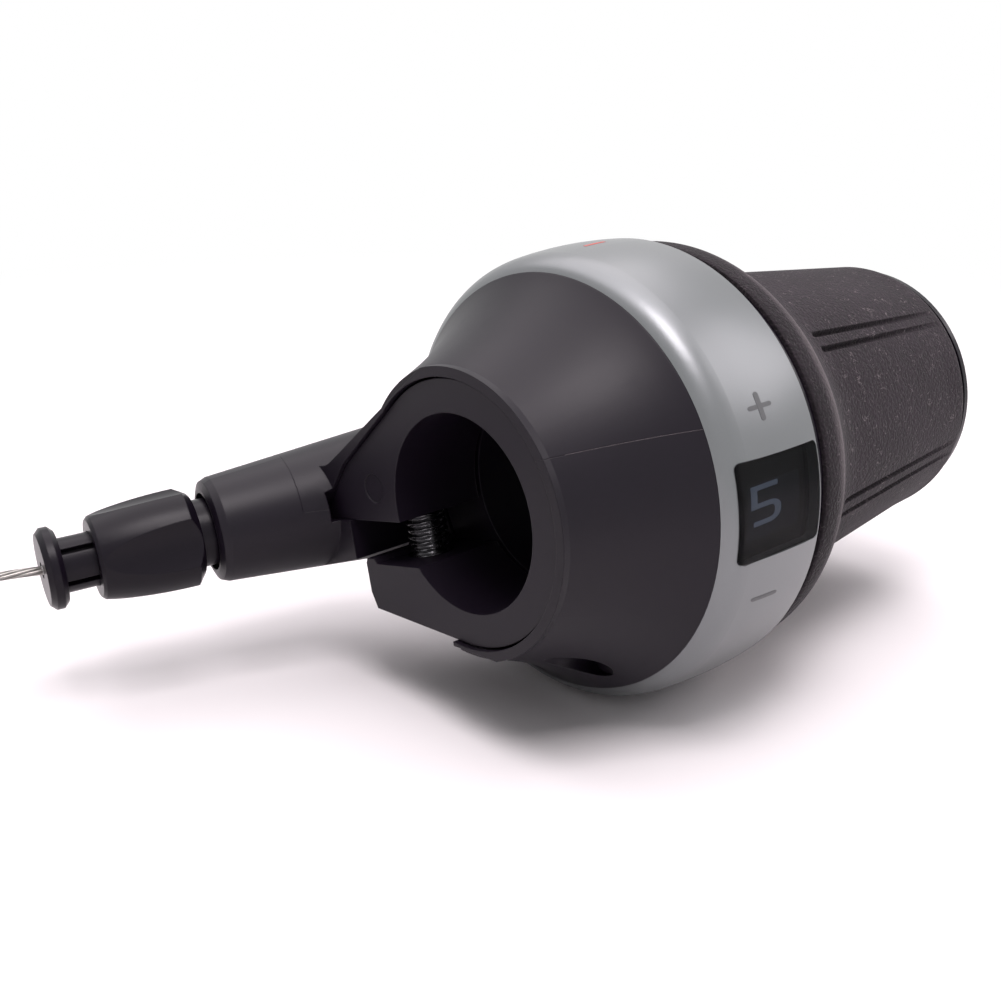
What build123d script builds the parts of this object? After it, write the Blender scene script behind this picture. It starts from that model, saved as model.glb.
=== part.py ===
from build123d import *

import os
from math import acos, asin, atan2, cos, degrees, hypot, radians, sin, sqrt, tan

# Twist grip gear shifter for the right end of a handlebar, in millimetres.
# X is the bar axis, pointing outboard to the grip's open end.
# Y points forward, to the side of the clamp slot and the cable. Z is up.
# The origin is on the bar axis, in the inboard face of the clamp.

# Handlebar clamp. Its jaws are drawn in a frame turned about the bar.
BAR_R = 11.1
BAND_WALL = 3.7
CLAMP_W = 12.0
SLOT_TURN = 13.5
SLOT_TOP = -1.3
SLOT_GAP = 5.2
UPPER_JAW_NORMAL = 58.0
UPPER_JAW_RUN = 13.4
UPPER_JAW_REACH = 24.3
UPPER_TIP_Z = 0.4
JAW_TIP_W = 6.8
JAW_TAPER_FROM = 16.5
LOWER_JAW_NORMAL = -81.0
LOWER_JAW_REACH = 18.9
LOWER_LIP_H = 0.6
JAW_EDGE_H = 2.0
JAW_EDGE_W = 0.7
LOWER_LIP_W = 1.6
FLEX_GAP = 0.8
EJECTOR_R = 1.7
EJECTOR_DEPTH = 0.15
EJECTOR_Z = 2.6

# Clamp bolt and the threaded insert moulded into the upper jaw.
BOLT_OUT = 0.5
BOLT_R = 2.5
BOLT_X = 6.3
BOLT_HEAD_R = 3.7
BOLT_HEAD_H = 4.0
BOLT_SOCKET_R = 2.0
BOLT_SOCKET_DEPTH = 2.4
BOLT_END_PAST_INSERT = 0.4
INSERT_R = 3.25
INSERT_L = 4.0
INSERT_ABOVE_SLOT = 3.3

# Bearing tube that the grip turns on, and its plate.
TUBE_BORE_CLEAR = 0.2
TUBE_WALL = 1.2
TUBE_END = 75.0
PLATE_T = 1.6
PLATE_R = 18.6

# Housing: a collar round the clamp, then a flare up to the display ring.
RIM_X = -0.6
COLLAR_R = 16.2
COLLAR_END = 0.3
FLARE_L = 14.0
FLARE_R = 24.0
FLARE_WALL = 1.8
BULKHEAD_T = 1.5
SPIGOT_L = 1.9
SPIGOT_WALL = 1.5
PARTING_REAR = 6.2
PARTING_Z_FRONT = -4.9
TONGUE_ALONG = 1.5
WEB_NORMAL = 49.0
WEB_OUT = 15.15
WEB_FILLET = 4.0
WEB_LOW_NORMAL = -113.0
SOLE_NORMAL = -95.0
SOLE_OUT = 15.4

# Cable tube on the housing. It splays away from the bar and falls a little.
# Positions along it count from the point below and grow towards the housing.
CABLE_TUBE_AT = (-3.9, 29.6, -7.28)
CABLE_TUBE_SPLAY = 16.0
CABLE_TUBE_FALL = 4.04
CABLE_TUBE_END = -8.5
CABLE_TUBE_END_R = 6.27
CABLE_TUBE_ROOT_R = 7.31
CABLE_TUBE_ROUND = 1.2
TUBE_MOUTH_R = 4.7
TUBE_MOUTH_DEPTH = 1.0

# Hole for threading the cable in, on the underside of the flare.
ACCESS_ANGLE = -121.0
ACCESS_OUT = 19.9
ACCESS_R = 2.25

# Housing screws.
SCREW_R = 1.1
SCREW_HEAD_R = 1.8
SCREW_L = 7.0
SCREW_SLOT_W = 0.5
SCREW_SLOT_L = 2.2
SCREW_BOSS_R = 1.9
SCREW_CIRCLE_R = 17.0
UPPER_SCREW_ANGLES = (75.0, 128.0)
LOWER_SCREW_ANGLES = (200.0, 262.0)

# Silver display ring and window.
RING_END = 28.9
RING_R = 26.2
RING_REAR_R = 25.5
RING_WALL = 1.6
RING_LIP = 1.4
RING_SHOULDER = 3.0
RING_CROWN = 0.4
RING_EDGE_L = 0.6
RING_EDGE_FALL = 0.2
WINDOW_ANGLE = 173.6
WINDOW_X0 = 15.3
WINDOW_X1 = 28.2
WINDOW_H = 10.8
WINDOW_ROUND = 0.7
LENS_T = 1.3
LENS_SUNK = 0.25

# Number drum, cable drum and detent ring.
DIAL_CLEAR = 1.3
NUMBER_DRUM_WALL = 1.4
DRUM_W = 4.4
DRUM_R = 18.2
CABLE_TRACK_R = 15.8
NIPPLE_R = 1.9
NIPPLE_L = 4.0
NIPPLE_TURN = 14.0
NIPPLE_OUT = 0.2
WASHER_T = 0.6
WASHER_R = 15.0
DETENT_W = 3.0
DETENT_R = 17.5
GEARS = 5
GEAR_STEP = 28.0
NOTCH_R = 1.3
DETENT_ANGLE = -75.0
SPRING_T = 0.5
SPRING_HALF_SPAN = 25.0
SPRING_GAP = 1.4
NOSE_R = 1.0
TONGUE_T = 1.5
TONGUE_SIDE = 2.0

# Twist sleeve, rubber grip and retaining clip.
SLEEVE_WALL = 1.35
SLEEVE_FLANGE_R = 24.7
SLEEVE_FLANGE_T = 1.4
GRIP_CORE_R = 15.0
GRIP_END = 75.9
END_RIM_R = 16.2
END_RIM_T = 1.3
RIM_CHAMFER = 0.5
FLANGE_FRONT_R = 25.2
FLANGE_CREST_R = 24.0
FLANGE_L = 6.1
FLANGE_CHAMFER = 0.5
FLANGE_BULGE = 0.25
BARREL_ROOT_R = 19.8
BARREL_END_R = 16.7
BARREL_END_ROUND = 1.0
LOBES = 6
LOBE_ANGLE = 14.5
PANEL_DEPTH = 0.45
GROOVE_PAIR_HALF = 3.3
GROOVE_R = 0.55
GROOVE_DEPTH = 0.7
GROOVE_END_DEPTH = 0.1
GROOVE_MARGIN = 2.0
CLIP_T = 1.0
CLIP_DEPTH = 0.6
CLIP_OUT = 0.8
CLIP_FROM_END = 1.0
CLIP_OPEN = 40.0

# Cable adjuster: fluted knob on a hollow screw, and the plug in its end.
STEM_R = 4.05
STEM_END = -1.0
STEM_BORE_R = 1.2
TRAVEL_IN = 0.8
KNOB_END = -22.0
KNOB_START = -10.1
KNOB_END_R = 4.95
KNOB_R = 6.2
KNOB_BELLY = 4.5
KNOB_BELLY_R = 5.97
KNOB_CHAMFER = 1.05
KNOB_REAR_R = 4.9
KNOB_ROUND = 0.35
KNOB_FLUTES = 4
KNOB_FLUTE_R = 8.0
KNOB_FLUTE_FLOOR = 5.0
KNOB_FLUTE_ANGLE = 168.0
SOCKET_DEPTH = 8.2
PLUG_SHANK_R = 3.2
PLUG_FLANGE_R = 4.8
PLUG_FLANGE_T = 2.05
PLUG_NECK = 3.7
PLUG_ROUND = 0.6
PLUG_SLITS = 5
PLUG_SLIT_W = 0.75
PLUG_SLIT_DEPTH = 0.9
PLUG_SLIT_ANGLE = 130.0
PLUG_BORE_R = 1.0

# Shift cable: the stretch held inside, then a free end put away as a coil.
CABLE_R = 0.55
CABLE_BEND_R = 20.6
GUIDE_R = 1.2
GUIDE_BORE_R = 0.7
GUIDE_START = 10.4
CHANNEL_LEAD = 4.0
COIL_X = -70.0
COIL_Y = 21.1
COIL_MEAN_R = 9.6
COIL_ROWS = 5
COIL_LAYERS = 6
COIL_PITCH = 1.14
COIL_ROUND = 0.5
TIE_ANGLE = -20.0
TIE_T = 0.5
TIE_W = 3.0
CAP_L = 8.0
CAP_R = 0.9
CAP_ANGLE = 200.0

# Clearances.
RUN_CLEAR = 0.06
SEAT_CLEAR = 0.25
LOOSE_CLEAR = 0.3
SIDE_CLEAR = 0.1
TIGHT_CLEAR = 0.03

# Values worked out from the sizes above.
BAND_R = BAR_R + BAND_WALL
SLOT_LOW = SLOT_TOP - SLOT_GAP
BOLT_Y = BAR_R + BOLT_R + LOOSE_CLEAR + BOLT_OUT
TUBE_IN_R = BAR_R + TUBE_BORE_CLEAR
TUBE_R = TUBE_IN_R + TUBE_WALL
PLATE_X = CLAMP_W + FLEX_GAP
PLATE_END = PLATE_X + PLATE_T
SPIGOT_R = FLARE_R - SPIGOT_WALL
WASHER_END = PLATE_END + WASHER_T
DRUM_X = WASHER_END + SIDE_CLEAR
DRUM_END = DRUM_X + DRUM_W
TRACK_X = DRUM_X + DRUM_W / 2
DETENT_END = DRUM_END + DETENT_W
SLEEVE_IN_R = TUBE_R + RUN_CLEAR
SLEEVE_R = SLEEVE_IN_R + SLEEVE_WALL
FLANGE_X = RING_END + LOOSE_CLEAR
FLANGE_END = FLANGE_X + SLEEVE_FLANGE_T
RIM_START = GRIP_END - END_RIM_T
CREST_X = FLANGE_END + FLANGE_L
BARREL_X = CREST_X + BARREL_ROOT_R * 0.18
BARREL_SLOPE = degrees(atan2(BARREL_ROOT_R - BARREL_END_R, RIM_START - BARREL_X))
CLIP_END = TUBE_END - CLIP_FROM_END
CLIP_X = CLIP_END - CLIP_T
CLIP_R = TUBE_R + CLIP_OUT
RING_IN_R = RING_R - RING_WALL
NUMBER_DRUM_R = RING_IN_R - DIAL_CLEAR
LENS_R = RING_R - LENS_SUNK
FLOOR_Z = -RING_R
PLUG_X = KNOB_END - PLUG_NECK - PLUG_FLANGE_T
STEM_START = KNOB_END + SOCKET_DEPTH
CABLE_TUBE = Pos(*CABLE_TUBE_AT) * Rot(Z=-CABLE_TUBE_SPLAY) * Rot(Y=-CABLE_TUBE_FALL)
TUBE_LEAN = cos(radians(CABLE_TUBE_FALL)) * cos(radians(CABLE_TUBE_SPLAY))


def polar(radius, angle):
    """Point at a radius and an angle in degrees, in the plane across the bar."""
    return (radius * cos(radians(angle)), radius * sin(radians(angle)))


def across(x):
    """Plane across the bar at x, with its own axes along Y and Z."""
    return Plane.YZ.offset(x)


def disc(x0, x1, r_out, r_in=0.0):
    """Round disc or ring about the X axis, from x0 to x1."""
    face = Circle(r_out)
    if r_in > 0:
        face -= Circle(r_in)
    return extrude(across(x0) * face, x1 - x0)


def turned(*edges):
    """Solid turned about the X axis from the edges of its (x, radius) outline."""
    return revolve(Plane.XZ * make_face(edges), Axis.X)


def turned_corners(*corners):
    """Solid turned about the X axis from straight runs between (x, radius) corners."""
    return turned(Polyline(*corners, close=True))


def flat(*corners):
    """Flat face with straight sides between corners."""
    return make_face(Polyline(*corners, close=True))


def prism(x0, x1, *corners):
    """Straight prism along X from (y, z) corners."""
    return extrude(across(x0) * flat(*corners), x1 - x0)


def sector(x0, x1, r_in, r_out, angle, half_span):
    """Part of a ring about X, half_span degrees to each side of an angle."""
    reach = 2 * r_out
    wedge = prism(x0, x1, (0, 0), polar(reach, angle - half_span), polar(reach, angle),
                  polar(reach, angle + half_span))
    return disc(x0, x1, r_out, r_in) & wedge


def rod(x0, x1, radius, at):
    """Round rod along X whose centre is at (y, z)."""
    return extrude(across(x0) * Pos(at[0], at[1]) * Circle(radius), x1 - x0)


def in_jaw_frame(part):
    """Turn a part from the jaws' own frame into the part's frame."""
    return Rot(X=-SLOT_TURN) * part


def tube_axis(along):
    """Point on the cable tube's axis at a position along it."""
    fall = radians(CABLE_TUBE_FALL)
    splay = radians(CABLE_TUBE_SPLAY)
    x, y, z = CABLE_TUBE_AT
    return (x + along * cos(fall) * cos(splay), y - along * cos(fall) * sin(splay), z + along * sin(fall))


def tube_axis_at_x(x):
    """Point on the cable tube's axis at an x."""
    return tube_axis((x - CABLE_TUBE_AT[0]) / TUBE_LEAN)


# Clamp bracket.

def upper_jaw_corners(grow):
    """Outline of the upper jaw in its own frame, grown by a clearance."""
    touch = polar(BAND_R + grow, UPPER_JAW_NORMAL)
    run = polar(UPPER_JAW_RUN, UPPER_JAW_NORMAL - 90)
    shoulder = (touch[0] + run[0], touch[1] + run[1])
    reach = UPPER_JAW_REACH + grow
    return ((0, SLOT_TOP), (0, touch[1]), touch, shoulder,
            (reach, UPPER_TIP_Z), (reach, SLOT_TOP))


def jaw_taper(grow):
    """Wedge behind the upper jaw's tip, where the jaw makes way for the cable."""
    slope = (CLAMP_W - JAW_TIP_W) / (UPPER_JAW_REACH - JAW_TAPER_FROM)
    far = 2 * UPPER_JAW_REACH
    start = JAW_TAPER_FROM + grow
    tip_x = CLAMP_W + grow - slope * (far - start)
    wedge = flat((CLAMP_W + grow, start), (tip_x, far), (far, far), (far, start))
    return extrude(Plane((0, 0, SLOT_TOP - 1)) * wedge, far)


def lower_jaw_bottom(y):
    """Height of the lower jaw's underside, a tangent to the band, at y."""
    normal = radians(LOWER_JAW_NORMAL)
    return (BAND_R - y * cos(normal)) / sin(normal)


def lower_jaw_corners():
    """Outline of the lower jaw in its own frame, with the lip at its tip."""
    touch = polar(BAND_R, LOWER_JAW_NORMAL)
    reach = LOWER_JAW_REACH
    lip = SLOT_LOW + LOWER_LIP_H
    return ((0, SLOT_LOW), (reach - 1.25 * LOWER_LIP_W, SLOT_LOW), (reach - LOWER_LIP_W, lip),
            (reach - 0.2 * LOWER_LIP_W, lip), (reach, SLOT_LOW), (reach, lower_jaw_bottom(reach) + JAW_EDGE_H),
            (reach - JAW_EDGE_W, lower_jaw_bottom(reach)), touch, (0, touch[1]))


def bolt_rod(z0, z1, radius):
    """Rod along the clamp bolt's axis, in the jaws' frame."""
    face = Plane((BOLT_X, BOLT_Y, z0)) * Circle(radius)
    return extrude(face, z1 - z0)


INSERT_Z = SLOT_TOP + INSERT_ABOVE_SLOT
HEAD_Z = lower_jaw_bottom(BOLT_Y + BOLT_HEAD_R)
BOLT_TIP_Z = INSERT_Z + INSERT_L + BOLT_END_PAST_INSERT


def clamp_bracket():
    """Split band with two jaws, plate and bearing tube, moulded in one piece."""
    reach = 2 * UPPER_JAW_REACH
    lip = SLOT_LOW + LOWER_LIP_H
    lip_y = LOWER_JAW_REACH - LOWER_LIP_W
    face = Circle(BAND_R) + flat(*upper_jaw_corners(0)) + flat(*lower_jaw_corners())
    face -= flat((0, SLOT_LOW), (lip_y - 0.25 * LOWER_LIP_W, SLOT_LOW), (lip_y, lip),
                 (reach, lip), (reach, SLOT_TOP), (0, SLOT_TOP))
    face -= Circle(BAR_R)
    link = Circle(BAND_R) - flat((2, -reach), (reach, -reach), (reach, reach), (2, reach))
    link -= Circle(BAR_R)
    band = extrude(across(0) * face, CLAMP_W) + extrude(across(CLAMP_W) * link, FLEX_GAP)
    band -= jaw_taper(0)
    band -= bolt_rod(HEAD_Z - BOLT_HEAD_H, BOLT_TIP_Z + LOOSE_CLEAR, BOLT_R + SEAT_CLEAR)
    band -= bolt_rod(HEAD_Z - BOLT_HEAD_H, HEAD_Z + BOLT_HEAD_H, BOLT_HEAD_R + SEAT_CLEAR)
    band -= bolt_rod(INSERT_Z, INSERT_Z + INSERT_L, INSERT_R)
    ejector = (BAND_R, EJECTOR_Z)
    band -= rod(-1, EJECTOR_DEPTH, EJECTOR_R, ejector)
    bracket = in_jaw_frame(band)
    bracket += disc(PLATE_X, PLATE_END, PLATE_R, TUBE_IN_R)
    bracket += disc(PLATE_END, TUBE_END, TUBE_R, TUBE_IN_R)
    bracket -= disc(CLIP_X - SIDE_CLEAR / 2, CLIP_END + SIDE_CLEAR / 2, TUBE_R + 1, TUBE_R - CLIP_DEPTH)
    for angle in UPPER_SCREW_ANGLES + LOWER_SCREW_ANGLES:
        bracket -= Pos(0, *polar(SCREW_CIRCLE_R, angle)) * screw_blank(SIDE_CLEAR)
    return bracket


def clamp_bolt():
    """Socket head bolt that closes the jaws, head down in the lower jaw."""
    bolt = bolt_rod(HEAD_Z, HEAD_Z + BOLT_HEAD_H, BOLT_HEAD_R)
    bolt += bolt_rod(HEAD_Z, BOLT_TIP_Z, BOLT_R)
    socket = Plane((BOLT_X, BOLT_Y, HEAD_Z)) * RegularPolygon(BOLT_SOCKET_R, 6)
    bolt -= extrude(socket, BOLT_SOCKET_DEPTH)
    return in_jaw_frame(bolt)


def clamp_insert():
    """Threaded insert held in the upper jaw, which the bolt pulls down."""
    insert = bolt_rod(INSERT_Z, INSERT_Z + INSERT_L, INSERT_R)
    insert -= bolt_rod(INSERT_Z - 1, INSERT_Z + INSERT_L + 1, BOLT_R + TIGHT_CLEAR)
    return in_jaw_frame(insert)


# Housing screws, put in from behind the plate.

def screw_blank(grow):
    """Countersunk screw on the X axis with its head flush in the plate, grown by a clearance."""
    tip = PLATE_END - SCREW_L
    cone = PLATE_T * 0.75
    return turned_corners((tip - grow, 0), (tip - grow, SCREW_R + grow),
                          (PLATE_END - cone, SCREW_R + grow), (PLATE_END, SCREW_HEAD_R + grow),
                          (PLATE_END, 0))


def housing_screws():
    """Four like screws with cross slots."""
    slot = PLATE_T * 0.4
    screw = screw_blank(0)
    for turn in (0, 90):
        screw -= Rot(X=turn) * Pos(PLATE_END, 0, 0) * Box(2 * slot, SCREW_SLOT_W, SCREW_SLOT_L)
    angles = UPPER_SCREW_ANGLES + LOWER_SCREW_ANGLES
    return Compound(children=[Pos(0, *polar(SCREW_CIRCLE_R, a)) * screw for a in angles])


# Route of the cable inside: off the drum on a tangent, then round into the tube.

CORNER = tube_axis_at_x(TRACK_X)[1:]
CORNER_R = hypot(*CORNER)
LEAVE_ANGLE = degrees(atan2(CORNER[1], CORNER[0])) + degrees(acos(CABLE_TRACK_R / CORNER_R))
LEAVE = polar(CABLE_TRACK_R, LEAVE_ANGLE)
TANGENT = polar(1, LEAVE_ANGLE - 90)
EXIT = tube_axis(PLUG_X)


def on_run(along):
    """Point on the straight run from the drum, a distance along it."""
    return Vector(TRACK_X, LEAVE[0] + TANGENT[0] * along, LEAVE[1] + TANGENT[1] * along)


def cable_line():
    """Line of the cable from the drum's tangent point to the face of the plug."""
    corner = Vector(TRACK_X, *CORNER)
    return FilletPolyline(on_run(0), corner, Vector(*EXIT), radius=CABLE_BEND_R)


def cable_stretch(start, tube_end):
    """Stretch of that line from a distance along it to a position along the tube."""
    line = cable_line()
    end = line.length - (tube_end - PLUG_X)
    return line.trim(start / line.length, end / line.length)


def swept(line, radius, bore=0.0):
    """Round bar, or pipe with a bore, along a line."""
    at_start = Plane(line @ 0, z_dir=line % 0)
    face = Circle(radius)
    if bore > 0:
        face -= Circle(bore)
    return sweep(at_start * face, path=line)


# Housing shells.

def flare_spline(x0, r0, x1, r1):
    """Trumpet curve from the collar out to the display ring."""
    return Spline((x0, r0), (x1, r1), tangents=((1, 0.36), (1, 1.0)))


def beyond(normal, out, x0, x1):
    """Everything past a flat that lies at a distance out from the bar, between x0 and x1."""
    far = 4 * COLLAR_R
    block = Box(x1 - x0, far, 2 * far, align=(Align.MIN, Align.MIN, Align.CENTER))
    return Rot(X=normal) * Pos(x0, out, 0) * block


def flare_solid():
    """Full outer form of the collar and flare, the collar trimmed flat on top and underneath."""
    curve = flare_spline(COLLAR_END, COLLAR_R, FLARE_L, FLARE_R)
    solid = turned(Polyline((FLARE_L, FLARE_R), (FLARE_L, 0), (RIM_X, 0), (RIM_X, COLLAR_R),
                            (COLLAR_END, COLLAR_R)), curve)
    solid -= beyond(WEB_NORMAL, WEB_OUT, RIM_X - 1, COLLAR_END)
    return solid - beyond(SOLE_NORMAL, SOLE_OUT, RIM_X - 1, COLLAR_END)


def flare_room():
    """Room inside the collar and flare."""
    back = FLARE_L - BULKHEAD_T
    inner_r = BAND_R + SEAT_CLEAR
    outer_r = FLARE_R - FLARE_WALL - BULKHEAD_T
    curve = flare_spline(COLLAR_END, inner_r, back, outer_r)
    front = RIM_X - 1
    room = turned(Polyline((back, outer_r), (back, 0), (front, 0), (front, inner_r),
                           (COLLAR_END, inner_r)), curve)
    return room + disc(back, FLARE_L + SPIGOT_L + 1, PLATE_R + LOOSE_CLEAR)


def tube_radius(along):
    """Outer radius of the cable tube at a position along it."""
    root = (RIM_X - CABLE_TUBE_AT[0]) / TUBE_LEAN
    part = (along - CABLE_TUBE_END) / (root - CABLE_TUBE_END)
    return CABLE_TUBE_END_R + part * (CABLE_TUBE_ROOT_R - CABLE_TUBE_END_R)


def web_faces():
    """Web from the collar to the cable tube, and the fillet where its top meets the tube."""
    centre = Vector(*tube_axis_at_x(RIM_X)[1:])
    inner_r = CABLE_TUBE_ROOT_R - SEAT_CLEAR
    out = Vector(*polar(1, WEB_NORMAL))
    along = Vector(*polar(1, WEB_NORMAL - 90))
    height = WEB_OUT + WEB_FILLET - out.dot(centre)
    reach = along.dot(centre) - sqrt((inner_r + WEB_FILLET) ** 2 - height ** 2)
    fillet_at = out * (WEB_OUT + WEB_FILLET) + along * reach
    to_centre = (centre - fillet_at).normalized()
    on_web = fillet_at - out * WEB_FILLET
    on_tube = fillet_at + to_centre * WEB_FILLET
    between = fillet_at + (to_centre - out).normalized() * WEB_FILLET
    low = centre + Vector(*polar(CABLE_TUBE_ROOT_R, WEB_LOW_NORMAL))
    low_in = low + Vector(*polar(COLLAR_R, WEB_LOW_NORMAL - 90))
    web = flat((0, 0), out * WEB_OUT, on_web, centre, low, low_in)
    gusset = make_face([ThreePointArc(on_web, between, on_tube),
                        Polyline(on_tube, centre, on_web)])
    return web, gusset


def neck_solid():
    """Outer form of the neck that carries the cable tube out from the flare."""
    web, gusset = web_faces()
    depth = FLARE_L - RIM_X
    inward = Vector(*tube_axis(1)) - Vector(*tube_axis(0))
    neck = extrude(across(RIM_X) * web, depth)
    neck += extrude(across(RIM_X) * gusset, depth / TUBE_LEAN, dir=inward)
    back = (FLARE_L - CABLE_TUBE_AT[0]) / TUBE_LEAN + CABLE_TUBE_ROOT_R / 2
    rounded = CABLE_TUBE_END + CABLE_TUBE_ROUND
    tube = turned_corners((CABLE_TUBE_END, 0), (CABLE_TUBE_END, CABLE_TUBE_END_R - CABLE_TUBE_ROUND),
                          (rounded - 0.7 * CABLE_TUBE_ROUND, tube_radius(rounded) - 0.3 * CABLE_TUBE_ROUND),
                          (rounded, tube_radius(rounded)), (back, tube_radius(back)), (back, 0))
    far = CABLE_TUBE_AT[1] + 2 * CABLE_TUBE_ROOT_R
    front = CABLE_TUBE_AT[0] + 2 * CABLE_TUBE_END
    hood = turned(Polyline((FLARE_L, FLARE_R), (FLARE_L, 0), (front, 0), (front, far), (COLLAR_END, far)),
                  Spline((COLLAR_END, far), (FLARE_L, FLARE_R), tangents=((1, -0.4), (0.3, -1))))
    return (neck + CABLE_TUBE * tube) & hood


def housing_blank():
    """Outer form of both housing halves together, with the spigot for the ring."""
    return flare_solid() + neck_solid() + disc(FLARE_L, FLARE_L + SPIGOT_L, SPIGOT_R)


def clamp_room():
    """Room for the clamp's jaws, open to the front and underneath."""
    back = CLAMP_W + FLEX_GAP / 2
    far = 3 * LOWER_JAW_REACH
    slack = sqrt((BAND_R + SEAT_CLEAR) ** 2 - BAND_R ** 2)
    inside = polar(BAND_R, LOWER_JAW_NORMAL)[0] + 0.7 * slack
    outside = LOWER_JAW_REACH + 1
    upper = prism(RIM_X - 1, back, *upper_jaw_corners(SIDE_CLEAR)) - jaw_taper(LOOSE_CLEAR)
    lower = prism(RIM_X - 1, back, (inside, SLOT_TOP), (inside, -far), (outside, -far), (outside, SLOT_TOP))
    return in_jaw_frame(upper), in_jaw_frame(lower)


def cable_room():
    """Bore for the adjuster and the curved channel for the cable guide."""
    bore_end = STEM_END + TRAVEL_IN + LOOSE_CLEAR
    bore = disc(CABLE_TUBE_END - 1, bore_end, STEM_R + RUN_CLEAR)
    bore += disc(CABLE_TUBE_END - 1, CABLE_TUBE_END + TUBE_MOUTH_DEPTH, TUBE_MOUTH_R)
    channel = swept(cable_stretch(GUIDE_START - CHANNEL_LEAD, STEM_END), GUIDE_R + RUN_CLEAR)
    return CABLE_TUBE * bore, channel


def hollowed(half, screw_angles):
    """Housing half with its room, screw bosses and openings."""
    half -= flare_room()
    outer = flare_solid()
    for angle in screw_angles:
        at = polar(SCREW_CIRCLE_R, angle)
        half += rod(COLLAR_END, PLATE_X, SCREW_BOSS_R, at) & outer
        half -= Pos(0, *at) * screw_blank(TIGHT_CLEAR)
    for room in clamp_room() + cable_room():
        half -= room
    return half


def from_jaw(y, z):
    """Corner in the part's frame for a corner in the jaws' frame."""
    turn = radians(SLOT_TURN)
    return (y * cos(turn) + z * sin(turn), z * cos(turn) - y * sin(turn))


def upper_room():
    """Everything above the parting of the two housing halves, up to the end of the tongue."""
    far = 4 * CABLE_TUBE_AT[1]
    above = prism(-far, far, from_jaw(-far, PARTING_REAR), from_jaw(-BAR_R / 4, PARTING_REAR),
                  (BAR_R * 0.7, PARTING_Z_FRONT), (far, PARTING_Z_FRONT), (far, far), (-far, far))
    block = Box(2 * far, 4 * far, 4 * far, align=(Align.MAX, Align.CENTER, Align.CENTER))
    return above - CABLE_TUBE * Pos(TONGUE_ALONG, 0, 0) * block


SPRING_OUT_R = DETENT_R + SPRING_GAP + SPRING_T


def detent_tongue():
    """Tongue on the lower housing that carries the detent spring."""
    end = DETENT_END + LOOSE_CLEAR
    half = SPRING_HALF_SPAN + TONGUE_SIDE
    tongue = sector(FLARE_L - BULKHEAD_T, end, SPRING_OUT_R, SPRING_OUT_R + TONGUE_T, DETENT_ANGLE, half)
    relief = sector(FLARE_L, end, SPRING_OUT_R, SPRING_OUT_R + TONGUE_T / 2, DETENT_ANGLE, half * 0.6)
    return tongue - relief


def upper_housing():
    """Upper half of the housing, with the tongue over the cable tube."""
    return hollowed(housing_blank() & upper_room(), UPPER_SCREW_ANGLES)


def lower_housing():
    """Lower half of the housing, with the cable tube and the detent tongue."""
    half = hollowed(housing_blank() - upper_room(), LOWER_SCREW_ANGLES)
    half -= rod(RIM_X - 1, FLARE_L - BULKHEAD_T, ACCESS_R, polar(ACCESS_OUT, ACCESS_ANGLE))
    return half + detent_tongue()


# Display.

def window_block(grow):
    """Radial block with rounded corners, the form of the window."""
    width = WINDOW_X1 - WINDOW_X0 + 2 * grow
    face = RectangleRounded(width, WINDOW_H + 2 * grow, WINDOW_ROUND + grow)
    out = polar(1, WINDOW_ANGLE)
    place = Plane(((WINDOW_X0 + WINDOW_X1) / 2, 0, 0), x_dir=(1, 0, 0), z_dir=(0, *out))
    return extrude(place * face, 2 * RING_R)


def display_ring():
    """Silver ring with a rounded front shoulder and the window opening."""
    mid = (FLARE_L + RING_SHOULDER + RING_END) / 2
    shoulder = FLARE_L + RING_SHOULDER
    side_r = RING_R - RING_CROWN
    edge = (RING_END - RING_EDGE_L, RING_R - RING_EDGE_FALL)
    ring = turned(
        Spline((FLARE_L, FLARE_R), (shoulder, side_r), tangents=((0.5, 1), (1, 0.12))),
        ThreePointArc((shoulder, side_r), (mid, RING_R), edge),
        Polyline(edge, (RING_END, RING_REAR_R), (RING_END, RING_IN_R),
                 (FLARE_L + RING_LIP, RING_IN_R), (FLARE_L + RING_LIP, SPIGOT_R + SIDE_CLEAR),
                 (FLARE_L, SPIGOT_R + SIDE_CLEAR), (FLARE_L, FLARE_R)))
    return ring - window_block(0)


def window_lens():
    """Smoked lens that fills the window."""
    return disc(WINDOW_X0, WINDOW_X1, LENS_R, LENS_R - LENS_T) & window_block(-TIGHT_CLEAR)


def number_drum():
    """Thin drum behind the lens that carries the gear numbers."""
    start = FLARE_L + SPIGOT_L + LOOSE_CLEAR
    return disc(start, FLANGE_X, NUMBER_DRUM_R, NUMBER_DRUM_R - NUMBER_DRUM_WALL)


# Cable drum and detent.

def nipple_rod(radius, length):
    """Rod across the drum's rim where the cable end sits."""
    out = polar(1, LEAVE_ANGLE + NIPPLE_TURN)
    side = polar(1, LEAVE_ANGLE + NIPPLE_TURN + 90)
    centre_r = CABLE_TRACK_R + NIPPLE_OUT
    place = Plane((TRACK_X, out[0] * centre_r, out[1] * centre_r), x_dir=(1, 0, 0), z_dir=(0, *side))
    return extrude(place * Circle(radius), length), place


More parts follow.
